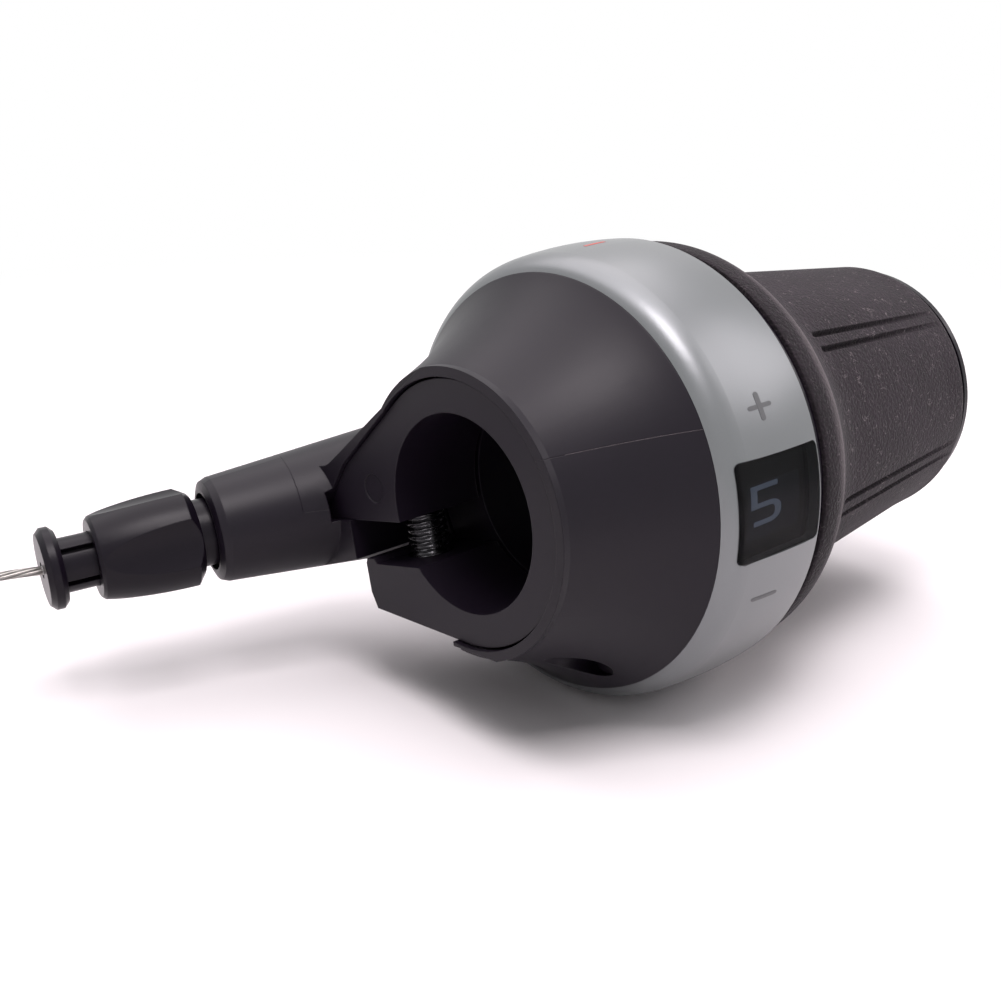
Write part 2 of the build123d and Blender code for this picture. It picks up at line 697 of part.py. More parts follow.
def cable_drum():
    """Grooved drum that winds the cable, with a pocket for its end."""
    half = CABLE_R + LOOSE_CLEAR
    drum = disc(TRACK_X, DRUM_END, DRUM_R, SLEEVE_R)
    drum += disc(DRUM_X, TRACK_X, CABLE_TRACK_R + CABLE_R, SLEEVE_R)
    drum -= disc(TRACK_X - half, TRACK_X + half, DRUM_R + 1, CABLE_TRACK_R - CABLE_R - SIDE_CLEAR)
    pocket, place = nipple_rod(NIPPLE_R + SIDE_CLEAR, NIPPLE_L + SIDE_CLEAR)
    mouth = Rectangle(2 * (NIPPLE_R + SIDE_CLEAR), DRUM_R, align=(Align.CENTER, Align.MAX))
    return drum - pocket - extrude(place * mouth, NIPPLE_L + SIDE_CLEAR)


def cable_nipple():
    """Barrel on the end of the cable, in the drum's pocket."""
    nipple, place = nipple_rod(NIPPLE_R, NIPPLE_L)
    return nipple


def detent_ring():
    """Ring with one notch for each gear."""
    ring = disc(DRUM_END, DETENT_END, DETENT_R, SLEEVE_R)
    for gear in range(GEARS):
        at = polar(DETENT_R + NOTCH_R * 0.4, DETENT_ANGLE - gear * GEAR_STEP)
        ring -= rod(DRUM_END - 1, DETENT_END + 1, NOTCH_R, at)
    return ring


def detent_spring():
    """Leaf spring with a rounded nose that drops into the notches."""
    x0 = DRUM_END + LOOSE_CLEAR
    x1 = DETENT_END - LOOSE_CLEAR
    leaf = sector(x0, x1, SPRING_OUT_R - SPRING_T, SPRING_OUT_R, DETENT_ANGLE, SPRING_HALF_SPAN)
    nose_r = SPRING_OUT_R - SPRING_T - NOSE_R * 0.6
    return leaf + rod(x0, x1, NOSE_R, polar(nose_r, DETENT_ANGLE))


def thrust_washer():
    """Washer between the plate and the cable drum."""
    return disc(PLATE_END, WASHER_END, WASHER_R, TUBE_R + SIDE_CLEAR)


# Grip.

def twist_sleeve():
    """Hard core of the grip, with the flange that drives the number drum."""
    sleeve = disc(DRUM_X, FLANGE_X, SLEEVE_R)
    sleeve += disc(FLANGE_X, FLANGE_END, SLEEVE_FLANGE_R)
    sleeve += disc(FLANGE_END, RIM_START, GRIP_CORE_R)
    sleeve += turned_corners((RIM_START, 0), (RIM_START, END_RIM_R), (GRIP_END - RIM_CHAMFER, END_RIM_R),
                             (GRIP_END, END_RIM_R - RIM_CHAMFER), (GRIP_END, 0))
    sleeve -= disc(DRUM_X - 1, GRIP_END + 1, SLEEVE_IN_R)
    sleeve -= disc(CLIP_X - LOOSE_CLEAR, GRIP_END + 1, CLIP_R + LOOSE_CLEAR)
    return sleeve


def grip_rubber():
    """Rubber grip: flange, then a tapered barrel with lobes and paired grooves."""
    length = RIM_START - BARREL_X
    blank = turned(
        Polyline((FLANGE_END, GRIP_CORE_R), (FLANGE_END, FLANGE_FRONT_R - FLANGE_CHAMFER),
                 (FLANGE_END + FLANGE_CHAMFER, FLANGE_FRONT_R)),
        ThreePointArc((FLANGE_END + FLANGE_CHAMFER, FLANGE_FRONT_R),
                      ((FLANGE_END + CREST_X) / 2, (FLANGE_FRONT_R + FLANGE_CREST_R) / 2 + FLANGE_BULGE),
                      (CREST_X, FLANGE_CREST_R)),
        Spline((CREST_X, FLANGE_CREST_R), (BARREL_X, BARREL_ROOT_R), tangents=((0.6, -1), (1, -0.09))),
        Polyline((BARREL_X, BARREL_ROOT_R), (RIM_START - BARREL_END_ROUND, BARREL_END_R),
                 (RIM_START, BARREL_END_R - BARREL_END_ROUND), (RIM_START, GRIP_CORE_R),
                 (FLANGE_END, GRIP_CORE_R)))
    step = 360 / LOBES
    wide = 2 * BARREL_ROOT_R
    groove_l = length - 2 * GROOVE_MARGIN
    groove_rise = degrees(atan2(GROOVE_DEPTH - GROOVE_END_DEPTH, groove_l))
    for lobe in range(LOBES):
        turn = Rot(X=LOBE_ANGLE + lobe * step)
        panel = Box(2 * length, wide, wide, align=(Align.MIN, Align.MIN, Align.CENTER))
        panel = Pos(BARREL_X, BARREL_ROOT_R - PANEL_DEPTH, 0) * Rot(Z=-BARREL_SLOPE) * panel
        blank -= Rot(X=step / 2) * turn * panel
        for side in (-GROOVE_PAIR_HALF, GROOVE_PAIR_HALF):
            groove = Rot(Y=90) * Cylinder(GROOVE_R, groove_l, align=(Align.CENTER, Align.CENTER, Align.MIN))
            groove = Pos(GROOVE_MARGIN, GROOVE_R - GROOVE_DEPTH, 0) * Rot(Z=groove_rise) * groove
            groove = Rot(Z=-BARREL_SLOPE) * groove
            blank -= turn * Rot(X=side) * Pos(BARREL_X, BARREL_ROOT_R, 0) * groove
    return blank


def retaining_clip():
    """Open spring clip in a groove at the end of the bearing tube."""
    clip = disc(CLIP_X, CLIP_END, CLIP_R, TUBE_R - CLIP_DEPTH + TIGHT_CLEAR)
    return clip - sector(CLIP_X - 1, CLIP_END + 1, 1, 2 * CLIP_R, 90, CLIP_OPEN / 2)


# Cable adjuster, drawn about the X axis and then set on the cable tube's axis.

def adjuster_screw():
    """Hollow screw that runs in the cable tube."""
    screw = disc(STEM_START, STEM_END, STEM_R, STEM_BORE_R)
    return CABLE_TUBE * screw


def adjuster_knob():
    """Tapered knob with flutes for the fingers, fixed on the screw."""
    shoulder = KNOB_START - KNOB_CHAMFER
    knob = turned(
        Polyline((KNOB_START, KNOB_REAR_R), (KNOB_START, 0), (KNOB_END, 0),
                 (KNOB_END, KNOB_END_R - KNOB_ROUND), (KNOB_END + KNOB_ROUND, KNOB_END_R)),
        ThreePointArc((KNOB_END + KNOB_ROUND, KNOB_END_R), (shoulder - KNOB_BELLY, KNOB_BELLY_R),
                      (shoulder, KNOB_R)),
        Line((shoulder, KNOB_R), (KNOB_START, KNOB_REAR_R)))
    for flute in range(KNOB_FLUTES):
        at = polar(KNOB_FLUTE_FLOOR + KNOB_FLUTE_R, KNOB_FLUTE_ANGLE + flute * 360 / KNOB_FLUTES)
        knob -= rod(KNOB_END - 1, KNOB_START + 1, KNOB_FLUTE_R, at)
    knob -= disc(KNOB_END - 1, STEM_START, PLUG_SHANK_R + RUN_CLEAR)
    knob -= disc(STEM_START, KNOB_START + 1, STEM_R)
    return CABLE_TUBE * knob


def cable_stop_plug():
    """Ribbed plug in the knob's outer end that guides the cable."""
    neck = PLUG_X + PLUG_FLANGE_T
    plug = turned_corners((PLUG_X, 0), (PLUG_X, PLUG_FLANGE_R - PLUG_ROUND),
                          (PLUG_X + PLUG_ROUND, PLUG_FLANGE_R), (neck - PLUG_ROUND, PLUG_FLANGE_R),
                          (neck, PLUG_FLANGE_R - PLUG_ROUND), (neck, PLUG_SHANK_R),
                          (STEM_START - LOOSE_CLEAR, PLUG_SHANK_R), (STEM_START - LOOSE_CLEAR, 0))
    plug -= disc(PLUG_X - 1, STEM_START, PLUG_BORE_R)
    slit = Box(KNOB_END + SOCKET_DEPTH - neck, PLUG_SLIT_DEPTH * 2, PLUG_SLIT_W,
               align=(Align.MIN, Align.CENTER, Align.CENTER))
    for index in range(PLUG_SLITS):
        turn = Rot(X=PLUG_SLIT_ANGLE + index * 360 / PLUG_SLITS)
        plug -= turn * Pos(neck, PLUG_SHANK_R, 0) * slit
    return CABLE_TUBE * plug


# Cable.

def cable_guide():
    """Smooth elbow that leads the cable from the drum into the tube."""
    line = cable_stretch(GUIDE_START, STEM_END + TRAVEL_IN + LOOSE_CLEAR)
    return swept(line, GUIDE_R, GUIDE_BORE_R)


def inner_cable():
    """Cable from its end in the drum to the face of the plug."""
    wrap = NIPPLE_TURN - degrees(asin(SIDE_CLEAR / CABLE_TRACK_R))
    arc = across(TRACK_X) * CenterArc((0, 0), CABLE_TRACK_R, LEAVE_ANGLE + wrap, -wrap)
    line = cable_line()
    path = Wire([arc.edge()] + list(line.edges()))
    return swept(path, CABLE_R)


ROUTE = [
    (EXIT[0], EXIT[1], EXIT[2]),
    (-35.7, 38.7, -8.9),
    (-42.5, 40.0, -9.4),
    (-49.5, 40.6, -12.2),
    (-56.0, 40.0, -16.6),
    (-62.0, 38.3, -21.2),
    (-68.5, 35.5, -24.6),
    (-75.5, 31.9, -25.13),
]


def route_radii(points):
    """Largest radii that the runs beside each corner allow."""
    radii = []
    for a, b, c in zip(points, points[1:], points[2:]):
        before = Vector(b) - Vector(a)
        after = Vector(c) - Vector(b)
        turn = before.get_angle(after)
        radii.append(0.45 * min(before.length, after.length) / tan(radians(turn / 2)))
    return radii


def cable_route():
    """Free stretch of the cable from the plug down to the coil."""
    radii = route_radii(ROUTE)
    print("cable route radii", [round(r, 1) for r in radii])
    line = FilletPolyline(*ROUTE, radius=radii)
    print("cable route length", round(line.length, 1))
    return swept(line, CABLE_R)


COIL_HALF_W = COIL_ROWS * COIL_PITCH / 2
COIL_H = COIL_LAYERS * COIL_PITCH
COIL_Z = FLOOR_Z + TIE_T


def cable_coil():
    """Outer form of the put away coil, lying on the surface under the part."""
    section = Pos(COIL_MEAN_R, COIL_Z + COIL_H / 2) * RectangleRounded(
        2 * COIL_HALF_W, COIL_H, COIL_ROUND)
    return Pos(COIL_X, COIL_Y, 0) * revolve(Plane.XZ * section, Axis.Z)


def cable_tie():
    """Flat tie round the coil's turns."""
    half = COIL_HALF_W + SEAT_CLEAR
    face = RectangleRounded(2 * (half + TIE_T), COIL_H + 2 * TIE_T, COIL_ROUND + TIE_T)
    face -= RectangleRounded(2 * half, COIL_H, COIL_ROUND)
    loop = extrude(Plane.XZ * Pos(COIL_MEAN_R, COIL_Z + COIL_H / 2) * face, TIE_W / 2, both=True)
    return Pos(COIL_X, COIL_Y, 0) * Rot(Z=TIE_ANGLE) * loop


def cable_end_cap():
    """Crimped cap on the cable's far end, lying on top of the coil."""
    cap = Cylinder(CAP_R, CAP_L) - Cylinder(CABLE_R + TIGHT_CLEAR, CAP_L)
    cap += Pos(0, 0, CAP_L / 2) * Cylinder(CAP_R, CAP_R, align=(Align.CENTER, Align.CENTER, Align.MIN))
    place = Pos(COIL_X, COIL_Y, COIL_Z + COIL_H + CAP_R) * Rot(Z=CAP_ANGLE)
    return place * Pos(COIL_MEAN_R, 0, 0) * Rot(X=-90) * cap


PARTS = {}


def build():
    """Make every piece by name."""
    PARTS["clamp_bracket"] = clamp_bracket()
    PARTS["clamp_bolt"] = clamp_bolt()
    PARTS["clamp_insert"] = clamp_insert()
    PARTS["housing_screws"] = housing_screws()
    PARTS["upper_housing"] = upper_housing()
    PARTS["lower_housing"] = lower_housing()
    PARTS["display_ring"] = display_ring()
    PARTS["window_lens"] = window_lens()
    PARTS["number_drum"] = number_drum()
    PARTS["cable_drum"] = cable_drum()
    PARTS["cable_nipple"] = cable_nipple()
    PARTS["detent_ring"] = detent_ring()
    PARTS["detent_spring"] = detent_spring()
    PARTS["thrust_washer"] = thrust_washer()
    PARTS["twist_sleeve"] = twist_sleeve()
    PARTS["grip_rubber"] = grip_rubber()
    PARTS["retaining_clip"] = retaining_clip()
    PARTS["adjuster_screw"] = adjuster_screw()
    PARTS["adjuster_knob"] = adjuster_knob()
    PARTS["cable_stop_plug"] = cable_stop_plug()
    PARTS["cable_guide"] = cable_guide()
    PARTS["inner_cable"] = inner_cable()
    PARTS["cable_route"] = cable_route()
    PARTS["cable_coil"] = cable_coil()
    PARTS["cable_tie"] = cable_tie()
    PARTS["cable_end_cap"] = cable_end_cap()


build()
os.makedirs("parts", exist_ok=True)
for name, part in PARTS.items():
    export_step(part, f"parts/{name}.step")
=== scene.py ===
"""Looks of a twist grip gear shifter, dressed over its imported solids."""

from __future__ import annotations

import logging
import math
from dataclasses import dataclass
from enum import Enum
from functools import partial
from typing import Any, Callable, Optional, Sequence, Union

import bmesh
import bpy
from mathutils import Euler, Matrix, Vector
from mathutils.bvhtree import BVHTree

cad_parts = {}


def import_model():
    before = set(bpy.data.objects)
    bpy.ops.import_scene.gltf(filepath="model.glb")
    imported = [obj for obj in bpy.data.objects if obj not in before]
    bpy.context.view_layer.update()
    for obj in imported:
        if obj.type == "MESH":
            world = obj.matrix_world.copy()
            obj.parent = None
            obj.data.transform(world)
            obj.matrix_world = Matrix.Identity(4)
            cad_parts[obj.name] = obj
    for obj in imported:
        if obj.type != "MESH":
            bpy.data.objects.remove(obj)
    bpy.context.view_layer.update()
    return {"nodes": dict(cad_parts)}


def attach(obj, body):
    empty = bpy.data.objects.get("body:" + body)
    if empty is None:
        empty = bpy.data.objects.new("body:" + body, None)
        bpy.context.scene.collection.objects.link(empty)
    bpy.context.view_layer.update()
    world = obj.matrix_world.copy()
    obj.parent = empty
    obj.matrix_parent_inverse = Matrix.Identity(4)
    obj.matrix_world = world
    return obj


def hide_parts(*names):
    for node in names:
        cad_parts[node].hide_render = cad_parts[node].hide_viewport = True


LOG = logging.getLogger("shifter")
MM = 0.001
TURN = 2 * math.pi
Colour = tuple[float, float, float]
Point = tuple[float, float, float]
Flat = tuple[float, float]
Nodes = dict[str, bpy.types.Object]
WHITE: Colour = (1.0, 1.0, 1.0)
EDGE_SAMPLES = 6  # rays that feel for a softened edge
JAW_TURN = -13.5  # degrees that the clamp's jaws are turned about the bar


class Body(Enum):
    """Bodies that pieces ride on."""

    BRACKET = "bracket"
    GRIP = "grip"


class Slot(Enum):
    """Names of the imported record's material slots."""

    STEEL = "zinc_steel"
    SILVER = "silver_paint"
    DIAL = "dial_plastic"
    HOUSING = "black_plastic"
    CABLE = "cable_steel"
    RUBBER = "grip_rubber"


def operator(operation: str, turned: bool = False) -> Callable[..., Value]:
    """Make a method that adds one Math node.

    Args:
        operation: the node's operation.
        turned: whether the value itself comes last.

    Returns:
        A method that takes the other terms.
    """
    def method(value: Value, *others: Term) -> Value:
        """Work out the operation."""
        return value.graph.maths(operation, *((*others, value) if turned else (value, *others)))

    return method


class Value:
    """A node socket that takes part in Python arithmetic."""

    def __init__(self, graph: Graph, socket: bpy.types.NodeSocket) -> None:
        """Keep the socket and the graph it belongs to."""
        self.graph = graph
        self.socket = socket

    __add__ = __radd__ = operator("ADD")
    __sub__ = operator("SUBTRACT")
    __rsub__ = operator("SUBTRACT", turned=True)
    __mul__ = __rmul__ = operator("MULTIPLY")
    __truediv__ = operator("DIVIDE")
    __rtruediv__ = operator("DIVIDE", turned=True)
    __mod__ = operator("FLOORED_MODULO")
    __pow__ = operator("POWER")
    __abs__ = operator("ABSOLUTE")
    __gt__ = operator("GREATER_THAN")
    sine = operator("SINE")

    def held(self) -> Value:
        """This kept from 0 to 1."""
        return self.graph.maths("MINIMUM", self.graph.maths("MAXIMUM", self, 0.0), 1.0)

    def swing(self, amount: float) -> Value:
        """How far this lies from a half, times an amount."""
        return (self - 0.5) * amount

    def past(self, limit: float, gain: float) -> Value:
        """How far this is past a limit, steepened and kept from 0 to 1."""
        return ((self - limit).held() * gain).held()

    def eased(self) -> Value:
        """A share from 0 to 1 with soft ends."""
        return self * self * (3.0 - 2.0 * self)


Term = Union[Value, float, int]


class Graph:
    """A node tree that is being built."""

    def __init__(self, tree: bpy.types.NodeTree) -> None:
        """Keep the tree."""
        self.tree = tree

    def plug(self, socket: bpy.types.NodeSocket, value: Any) -> None:
        """Link or set one socket.

        Args:
            socket: an input of a node.
            value: a term, an output socket or a constant; a colour gets an alpha of one.
        """
        source = value.socket if isinstance(value, Value) else value
        if isinstance(source, bpy.types.NodeSocket):
            self.tree.links.new(source, socket)
        else:
            socket.default_value = (*source, 1.0) if socket.type == "RGBA" else source

    def node(self, kind: str, settings: Optional[dict[str, Any]] = None,
             inputs: Optional[dict[Union[str, int], Any]] = None) -> bpy.types.Node:
        """Add a node.

        Args:
            kind: the node's type name.
            settings: attributes set before the sockets.
            inputs: values, sockets or terms by socket name or number.

        Returns:
            The new node.
        """
        node = self.tree.nodes.new(kind)
        for name, value in (settings or {}).items():
            setattr(node, name, value)
        for key, value in (inputs or {}).items():
            self.plug(node.inputs[key], value)
        return node

    def maths(self, operation: str, *terms: Term) -> Value:
        """Add one Math node on some terms and return its result."""
        node = self.node("ShaderNodeMath", {"operation": operation}, dict(enumerate(terms)))
        return Value(self, node.outputs[0])

    def parts(self, vector: bpy.types.NodeSocket) -> list[Value]:
        """Split a vector socket into its three numbers."""
        node = self.node("ShaderNodeSeparateXYZ", inputs={0: vector})
        return [Value(self, output) for output in node.outputs]

    def seen(self) -> Value:
        """One for rays that show a surface to the camera, straight or by way of a gloss, else nought.

        Returns:
            The mask as a term.
        """
        path = self.node("ShaderNodeLightPath")
        straight, glossy, through = (Value(self, path.outputs[f"Is {kind} Ray"])
                                     for kind in ("Camera", "Glossy", "Transmission"))
        return (straight + glossy + through).held()


class Paint(Graph):
    """Node sheet of one finish, round a Principled shader."""

    def __init__(self, name: str) -> None:
        """Start an empty material with a shader and Object coordinates.

        Args:
            name: the material's name.
        """
        self.material = bpy.data.materials.new(name)
        self.material.use_nodes = True
        super().__init__(self.material.node_tree)
        self.tree.nodes.clear()
        self.shader = self.node("ShaderNodeBsdfPrincipled")
        self.out = self.node("ShaderNodeOutputMaterial", inputs={"Surface": self.shader.outputs[0]})
        self.coords = self.node("ShaderNodeTexCoord").outputs["Object"]

    def noise(self, grain_mm: float, detail: float = 2.0, seed: float = 0.0,
              stretch: Point = (1.0, 1.0, 1.0)) -> Value:
        """Soft noise from 0 to 1.

        Args:
            grain_mm: size of its largest lumps.
            detail: number of finer layers.
            seed: picks another pattern.
            stretch: how much shorter the lumps are along each axis.

        Returns:
            The noise as a term.
        """
        vector = self.node("ShaderNodeMapping", inputs={"Vector": self.coords, "Scale": stretch}).outputs[0]
        noise = self.node("ShaderNodeTexNoise", {"noise_dimensions": "4D"},
                          {"Vector": vector, "W": seed, "Scale": 1 / (grain_mm * MM), "Detail": detail})
        return Value(self, noise.outputs[0])

    def blend(self, share: Term, first: Union[Colour, bpy.types.NodeSocket],
              second: Colour) -> bpy.types.NodeSocket:
        """Mix two colours by a share of the second."""
        return self.node("ShaderNodeMix", {"data_type": "RGBA"}, {0: share, 6: first, 7: second}).outputs[2]

    def tone(self, share: Term, colour: Colour, low: float, high: float) -> bpy.types.NodeSocket:
        """Run by a share from a darker to a lighter form of one colour."""
        return self.blend(share, shade(colour, low), shade(colour, high))

    def relief(self, height: Term, depth_mm: float, edge_mm: float = 0.0) -> None:
        """Feed the shader's Normal from a height and softened edges.

        Args:
            height: relief from 0 to 1.
            depth_mm: how deep a height of one is.
            edge_mm: radius by which edges look rounded.
        """
        inputs: dict[Union[str, int], Any] = {"Height": height, "Distance": depth_mm * MM}
        if edge_mm > 0:
            edge = self.node("ShaderNodeBevel", {"samples": EDGE_SAMPLES}, {"Radius": edge_mm * MM})
            inputs["Normal"] = edge.outputs[0]
        self.feed("Normal", self.node("ShaderNodeBump", inputs=inputs).outputs[0])

    def feed(self, name: str, value: Any) -> None:
        """Set or link one socket of the shader."""
        self.plug(self.shader.inputs[name], value)


def shade(colour: Colour, times: float) -> Colour:
    """A colour made lighter or darker."""
    return (colour[0] * times, colour[1] * times, colour[2] * times)


@dataclass(frozen=True)
class Finish:
    """What every finish has: a name, a colour and a way to spread it."""

    name: str
    colour: Colour

    def material(self) -> bpy.types.Material:
        """Build the finish.

        Returns:
            The new material.
        """
        paint = Paint(self.name)
        self.spread(paint)
        return paint.material

    def spread(self, paint: Paint) -> None:
        """Feed the shader, each finish in its own way."""
        raise NotImplementedError


@dataclass(frozen=True)
class MouldedPlastic(Finish):
    """Fine-grained moulded plastic with slightly uneven gloss."""

    roughness: float
    grain_mm: float = 0.15
    depth_mm: float = 0.006
    edge_mm: float = 0.16
    shine: float = 0.23
    cloud_mm: float = 11.0
    rub_mm: float = 1.6

    def spread(self, paint: Paint) -> None:
        """Feed the shader from grain, clouds and rubbed streaks.

        Args:
            paint: the finish's node sheet.
        """
        grain = paint.noise(self.grain_mm, 3.0)
        cloud = paint.noise(self.cloud_mm, 2.0, seed=3.1)
        rub = paint.noise(self.rub_mm, 5.0, seed=7.7, stretch=(0.35, 1.0, 1.0)).past(0.62, 2.2)
        paint.feed("Base Color", paint.tone(cloud, self.colour, 0.82, 1.2))
        paint.feed("Roughness", (self.roughness + cloud.swing(0.12) + grain.swing(0.08) + rub * 0.1).held())
        paint.feed("Specular IOR Level", self.shine)
        paint.relief(grain * 0.8 + cloud * 0.2, self.depth_mm, self.edge_mm)


@dataclass(frozen=True)
class SilverPaint(Finish):
    """Satin silver paint with fine metal flake under a thin clear coat."""

    roughness: float
    flake_mm: float = 0.09
    cloud_mm: float = 7.0
    depth_mm: float = 0.0012
    edge_mm: float = 0.14
    metal: float = 0.72
    coat: float = 0.12
    coat_roughness: float = 0.22

    def spread(self, paint: Paint) -> None:
        """Feed the shader from flakes and clouds.

        Args:
            paint: the finish's node sheet.
        """
        flake = paint.noise(self.flake_mm, 1.0)
        cloud = paint.noise(self.cloud_mm, 2.0, seed=1.3)
        tint = (flake.swing(0.7) + cloud.swing(0.25) + 0.5).held()
        paint.feed("Base Color", paint.tone(tint, self.colour, 0.9, 1.1))
        paint.feed("Metallic", self.metal)
        paint.feed("Roughness", (self.roughness + flake.swing(0.16) + cloud.swing(0.05)).held())
        paint.feed("Coat Weight", self.coat)
        paint.feed("Coat Roughness", self.coat_roughness)
        paint.relief(flake, self.depth_mm, self.edge_mm)


@dataclass(frozen=True)
class SmokedLens(Finish):
    """Glossy dark lens that lets a little of what lies behind it through."""

    alpha: float
    haze_mm: float = 5.0
    depth_mm: float = 0.0006
    edge_mm: float = 0.1
    shine: float = 0.1

    def spread(self, paint: Paint) -> None:
        """Feed the shader from a faint haze.

        Args:
            paint: the finish's node sheet.
        """
        haze = paint.noise(self.haze_mm, 3.0)
        paint.feed("Base Color", paint.tone(haze, self.colour, 0.7, 1.3))
        paint.feed("Roughness", (0.05 + haze * 0.05).held())
        paint.feed("Specular IOR Level", self.shine)
        paint.feed("Alpha", self.alpha)
        paint.relief(haze, self.depth_mm, self.edge_mm)


@dataclass(frozen=True)
class GripRubber(Finish):
    """Matt pebbled rubber with painted shade in its pits and on its flange's front band, a paler band of lint
    and painted highlight along the hollow behind its flange, and a few short fibres.
    """

    dust_and_highlight: Colour
    pebble_mm: float = 0.42
    cloud_mm: float = 8.0
    fleck_mm: float = 0.2
    fibre_mm: float = 0.8
    patch_mm: float = 1.2
    depth_mm: float = 0.2
    edge_mm: float = 0.12
    flange_end: float = 33.6 * MM
    flange_fade: float = 1.2 * MM
    crest: float = 35.8 * MM
    crest_half: float = 2.8 * MM
    roughness: float = 0.74
    shine: float = 0.17
    sheen: float = 0.05

    def spread(self, paint: Paint) -> None:
        """Feed the shader from pebbles, dust, flecks and fibres.

        Args:
            Feed the shader from pebbles, flecks, fibres and the paler band of lint and painted highlight,
            with painted shade in the pebbles' pits and on the flange.
        """
        along = paint.parts(paint.coords)[0]
        pebble = paint.noise(self.pebble_mm, 2.0)
        cloud = paint.noise(self.cloud_mm, 3.0, seed=2.2)
        fleck = paint.noise(self.fleck_mm, 2.0, seed=4.4).past(0.64, 11.0)
        line = paint.noise(self.fibre_mm, 1.0, seed=5.9)
        patch = paint.noise(self.patch_mm, 1.0, seed=8.5).past(0.585, 16.0)
        fibre = (1.0 - abs(line - 0.5) * 55.0).held() * patch
        # The flange's front band, painted darker as shade and kept mostly free of flecks and the paler band.
        flange = ((self.flange_end - along) / self.flange_fade).held()
        # Paler band behind the flange: partly lint, partly a painted highlight along the crest.
        crest_dust_and_highlight = (1.0 - abs(along - self.crest) / self.crest_half).held() * (0.3 + cloud * 1.2)
        # Painted shade: the pebbles' pits and the flange band run darker; the clouds vary the tone at random.
        tone = (pebble.swing(2.4) + cloud.swing(0.7) + 0.42 - flange * 0.3).held()
        base = paint.tone(tone, self.colour, 0.45, 1.6)
        dust_and_highlight_share = crest_dust_and_highlight * (0.06 + pebble * 0.5) + fleck * 0.45 + fibre * 0.5
        paint.feed("Base Color", paint.blend((dust_and_highlight_share * (1.0 - flange * 0.7)).held(), base, self.dust_and_highlight))
        paint.feed("Roughness", (self.roughness + pebble.swing(0.3)).held())
        paint.feed("Specular IOR Level", self.shine)
        paint.feed("Sheen Weight", self.sheen)
        paint.relief(pebble + fibre * 0.15, self.depth_mm, self.edge_mm)


@dataclass(frozen=True)
class Metal(Finish):
    """Worked metal with fine tool marks."""

    roughness: float
    mark_mm: float = 0.25
    stain_mm: float = 3.0
    stretch: Point = (1.0, 1.0, 0.12)
    depth_mm: float = 0.004
    edge_mm: float = 0.06

    def spread(self, paint: Paint) -> None:
        """Feed the shader from tool marks and faint stains.

        Args:
            paint: the finish's node sheet.
        """
        mark = paint.noise(self.mark_mm, 4.0, stretch=self.stretch)
        stain = paint.noise(self.stain_mm, 3.0, seed=6.1)
        paint.feed("Base Color", paint.tone(stain, self.colour, 0.75, 1.1))
        paint.feed("Metallic", 1.0)
        paint.feed("Roughness", (self.roughness + mark.swing(0.2) + stain.swing(0.15)).held())
        paint.relief(mark, self.depth_mm, self.edge_mm)


@dataclass(frozen=True)
class StrandedWire(Finish):
    """Bare steel cable whose twisted strands follow the cord."""

    strands: int
    lays: float
    stain_mm: float = 0.8
    depth_mm: float = 0.12
    metal: float = 0.85
    roughness: float = 0.42

    def spread(self, paint: Paint) -> None:
        """Feed the shader from strands along the cord's own UV map, with painted shade in the grooves between
        them.

        Args:
            paint: the finish's node sheet.
        """
        along, around, _ = paint.parts(paint.node("ShaderNodeTexCoord").outputs["UV"])
        phase = along * (self.lays * self.strands) + around * float(self.strands)
        strand = abs((phase * (TURN / 2)).sine())
        stain = paint.noise(self.stain_mm, 3.0)
        # The grooves between strands are painted darker as shade, mixed with random stains.
        share = (strand * 0.75 + stain.swing(0.5)).held()
        paint.feed("Base Color", paint.tone(share, self.colour, 0.28, 1.0))
        paint.feed("Metallic", self.metal)
        paint.feed("Roughness", (self.roughness - strand * 0.12 + stain.swing(0.1)).held())
        paint.relief(strand, self.depth_mm)


@dataclass(frozen=True)
class Print(Finish):
    """Thin even ink."""

    roughness: float
    wear_mm: float = 0.35
    depth_mm: float = 0.0008

    def spread(self, paint: Paint) -> None:
        """Feed the shader from slight wear.

        Args:
            paint: the finish's node sheet.
        """
        wear = paint.noise(self.wear_mm, 3.0)
        paint.feed("Base Color", paint.tone(wear, self.colour, 0.85, 1.12))
        paint.feed("Roughness", (self.roughness + wear.swing(0.1)).held())
        paint.relief(wear, self.depth_mm)


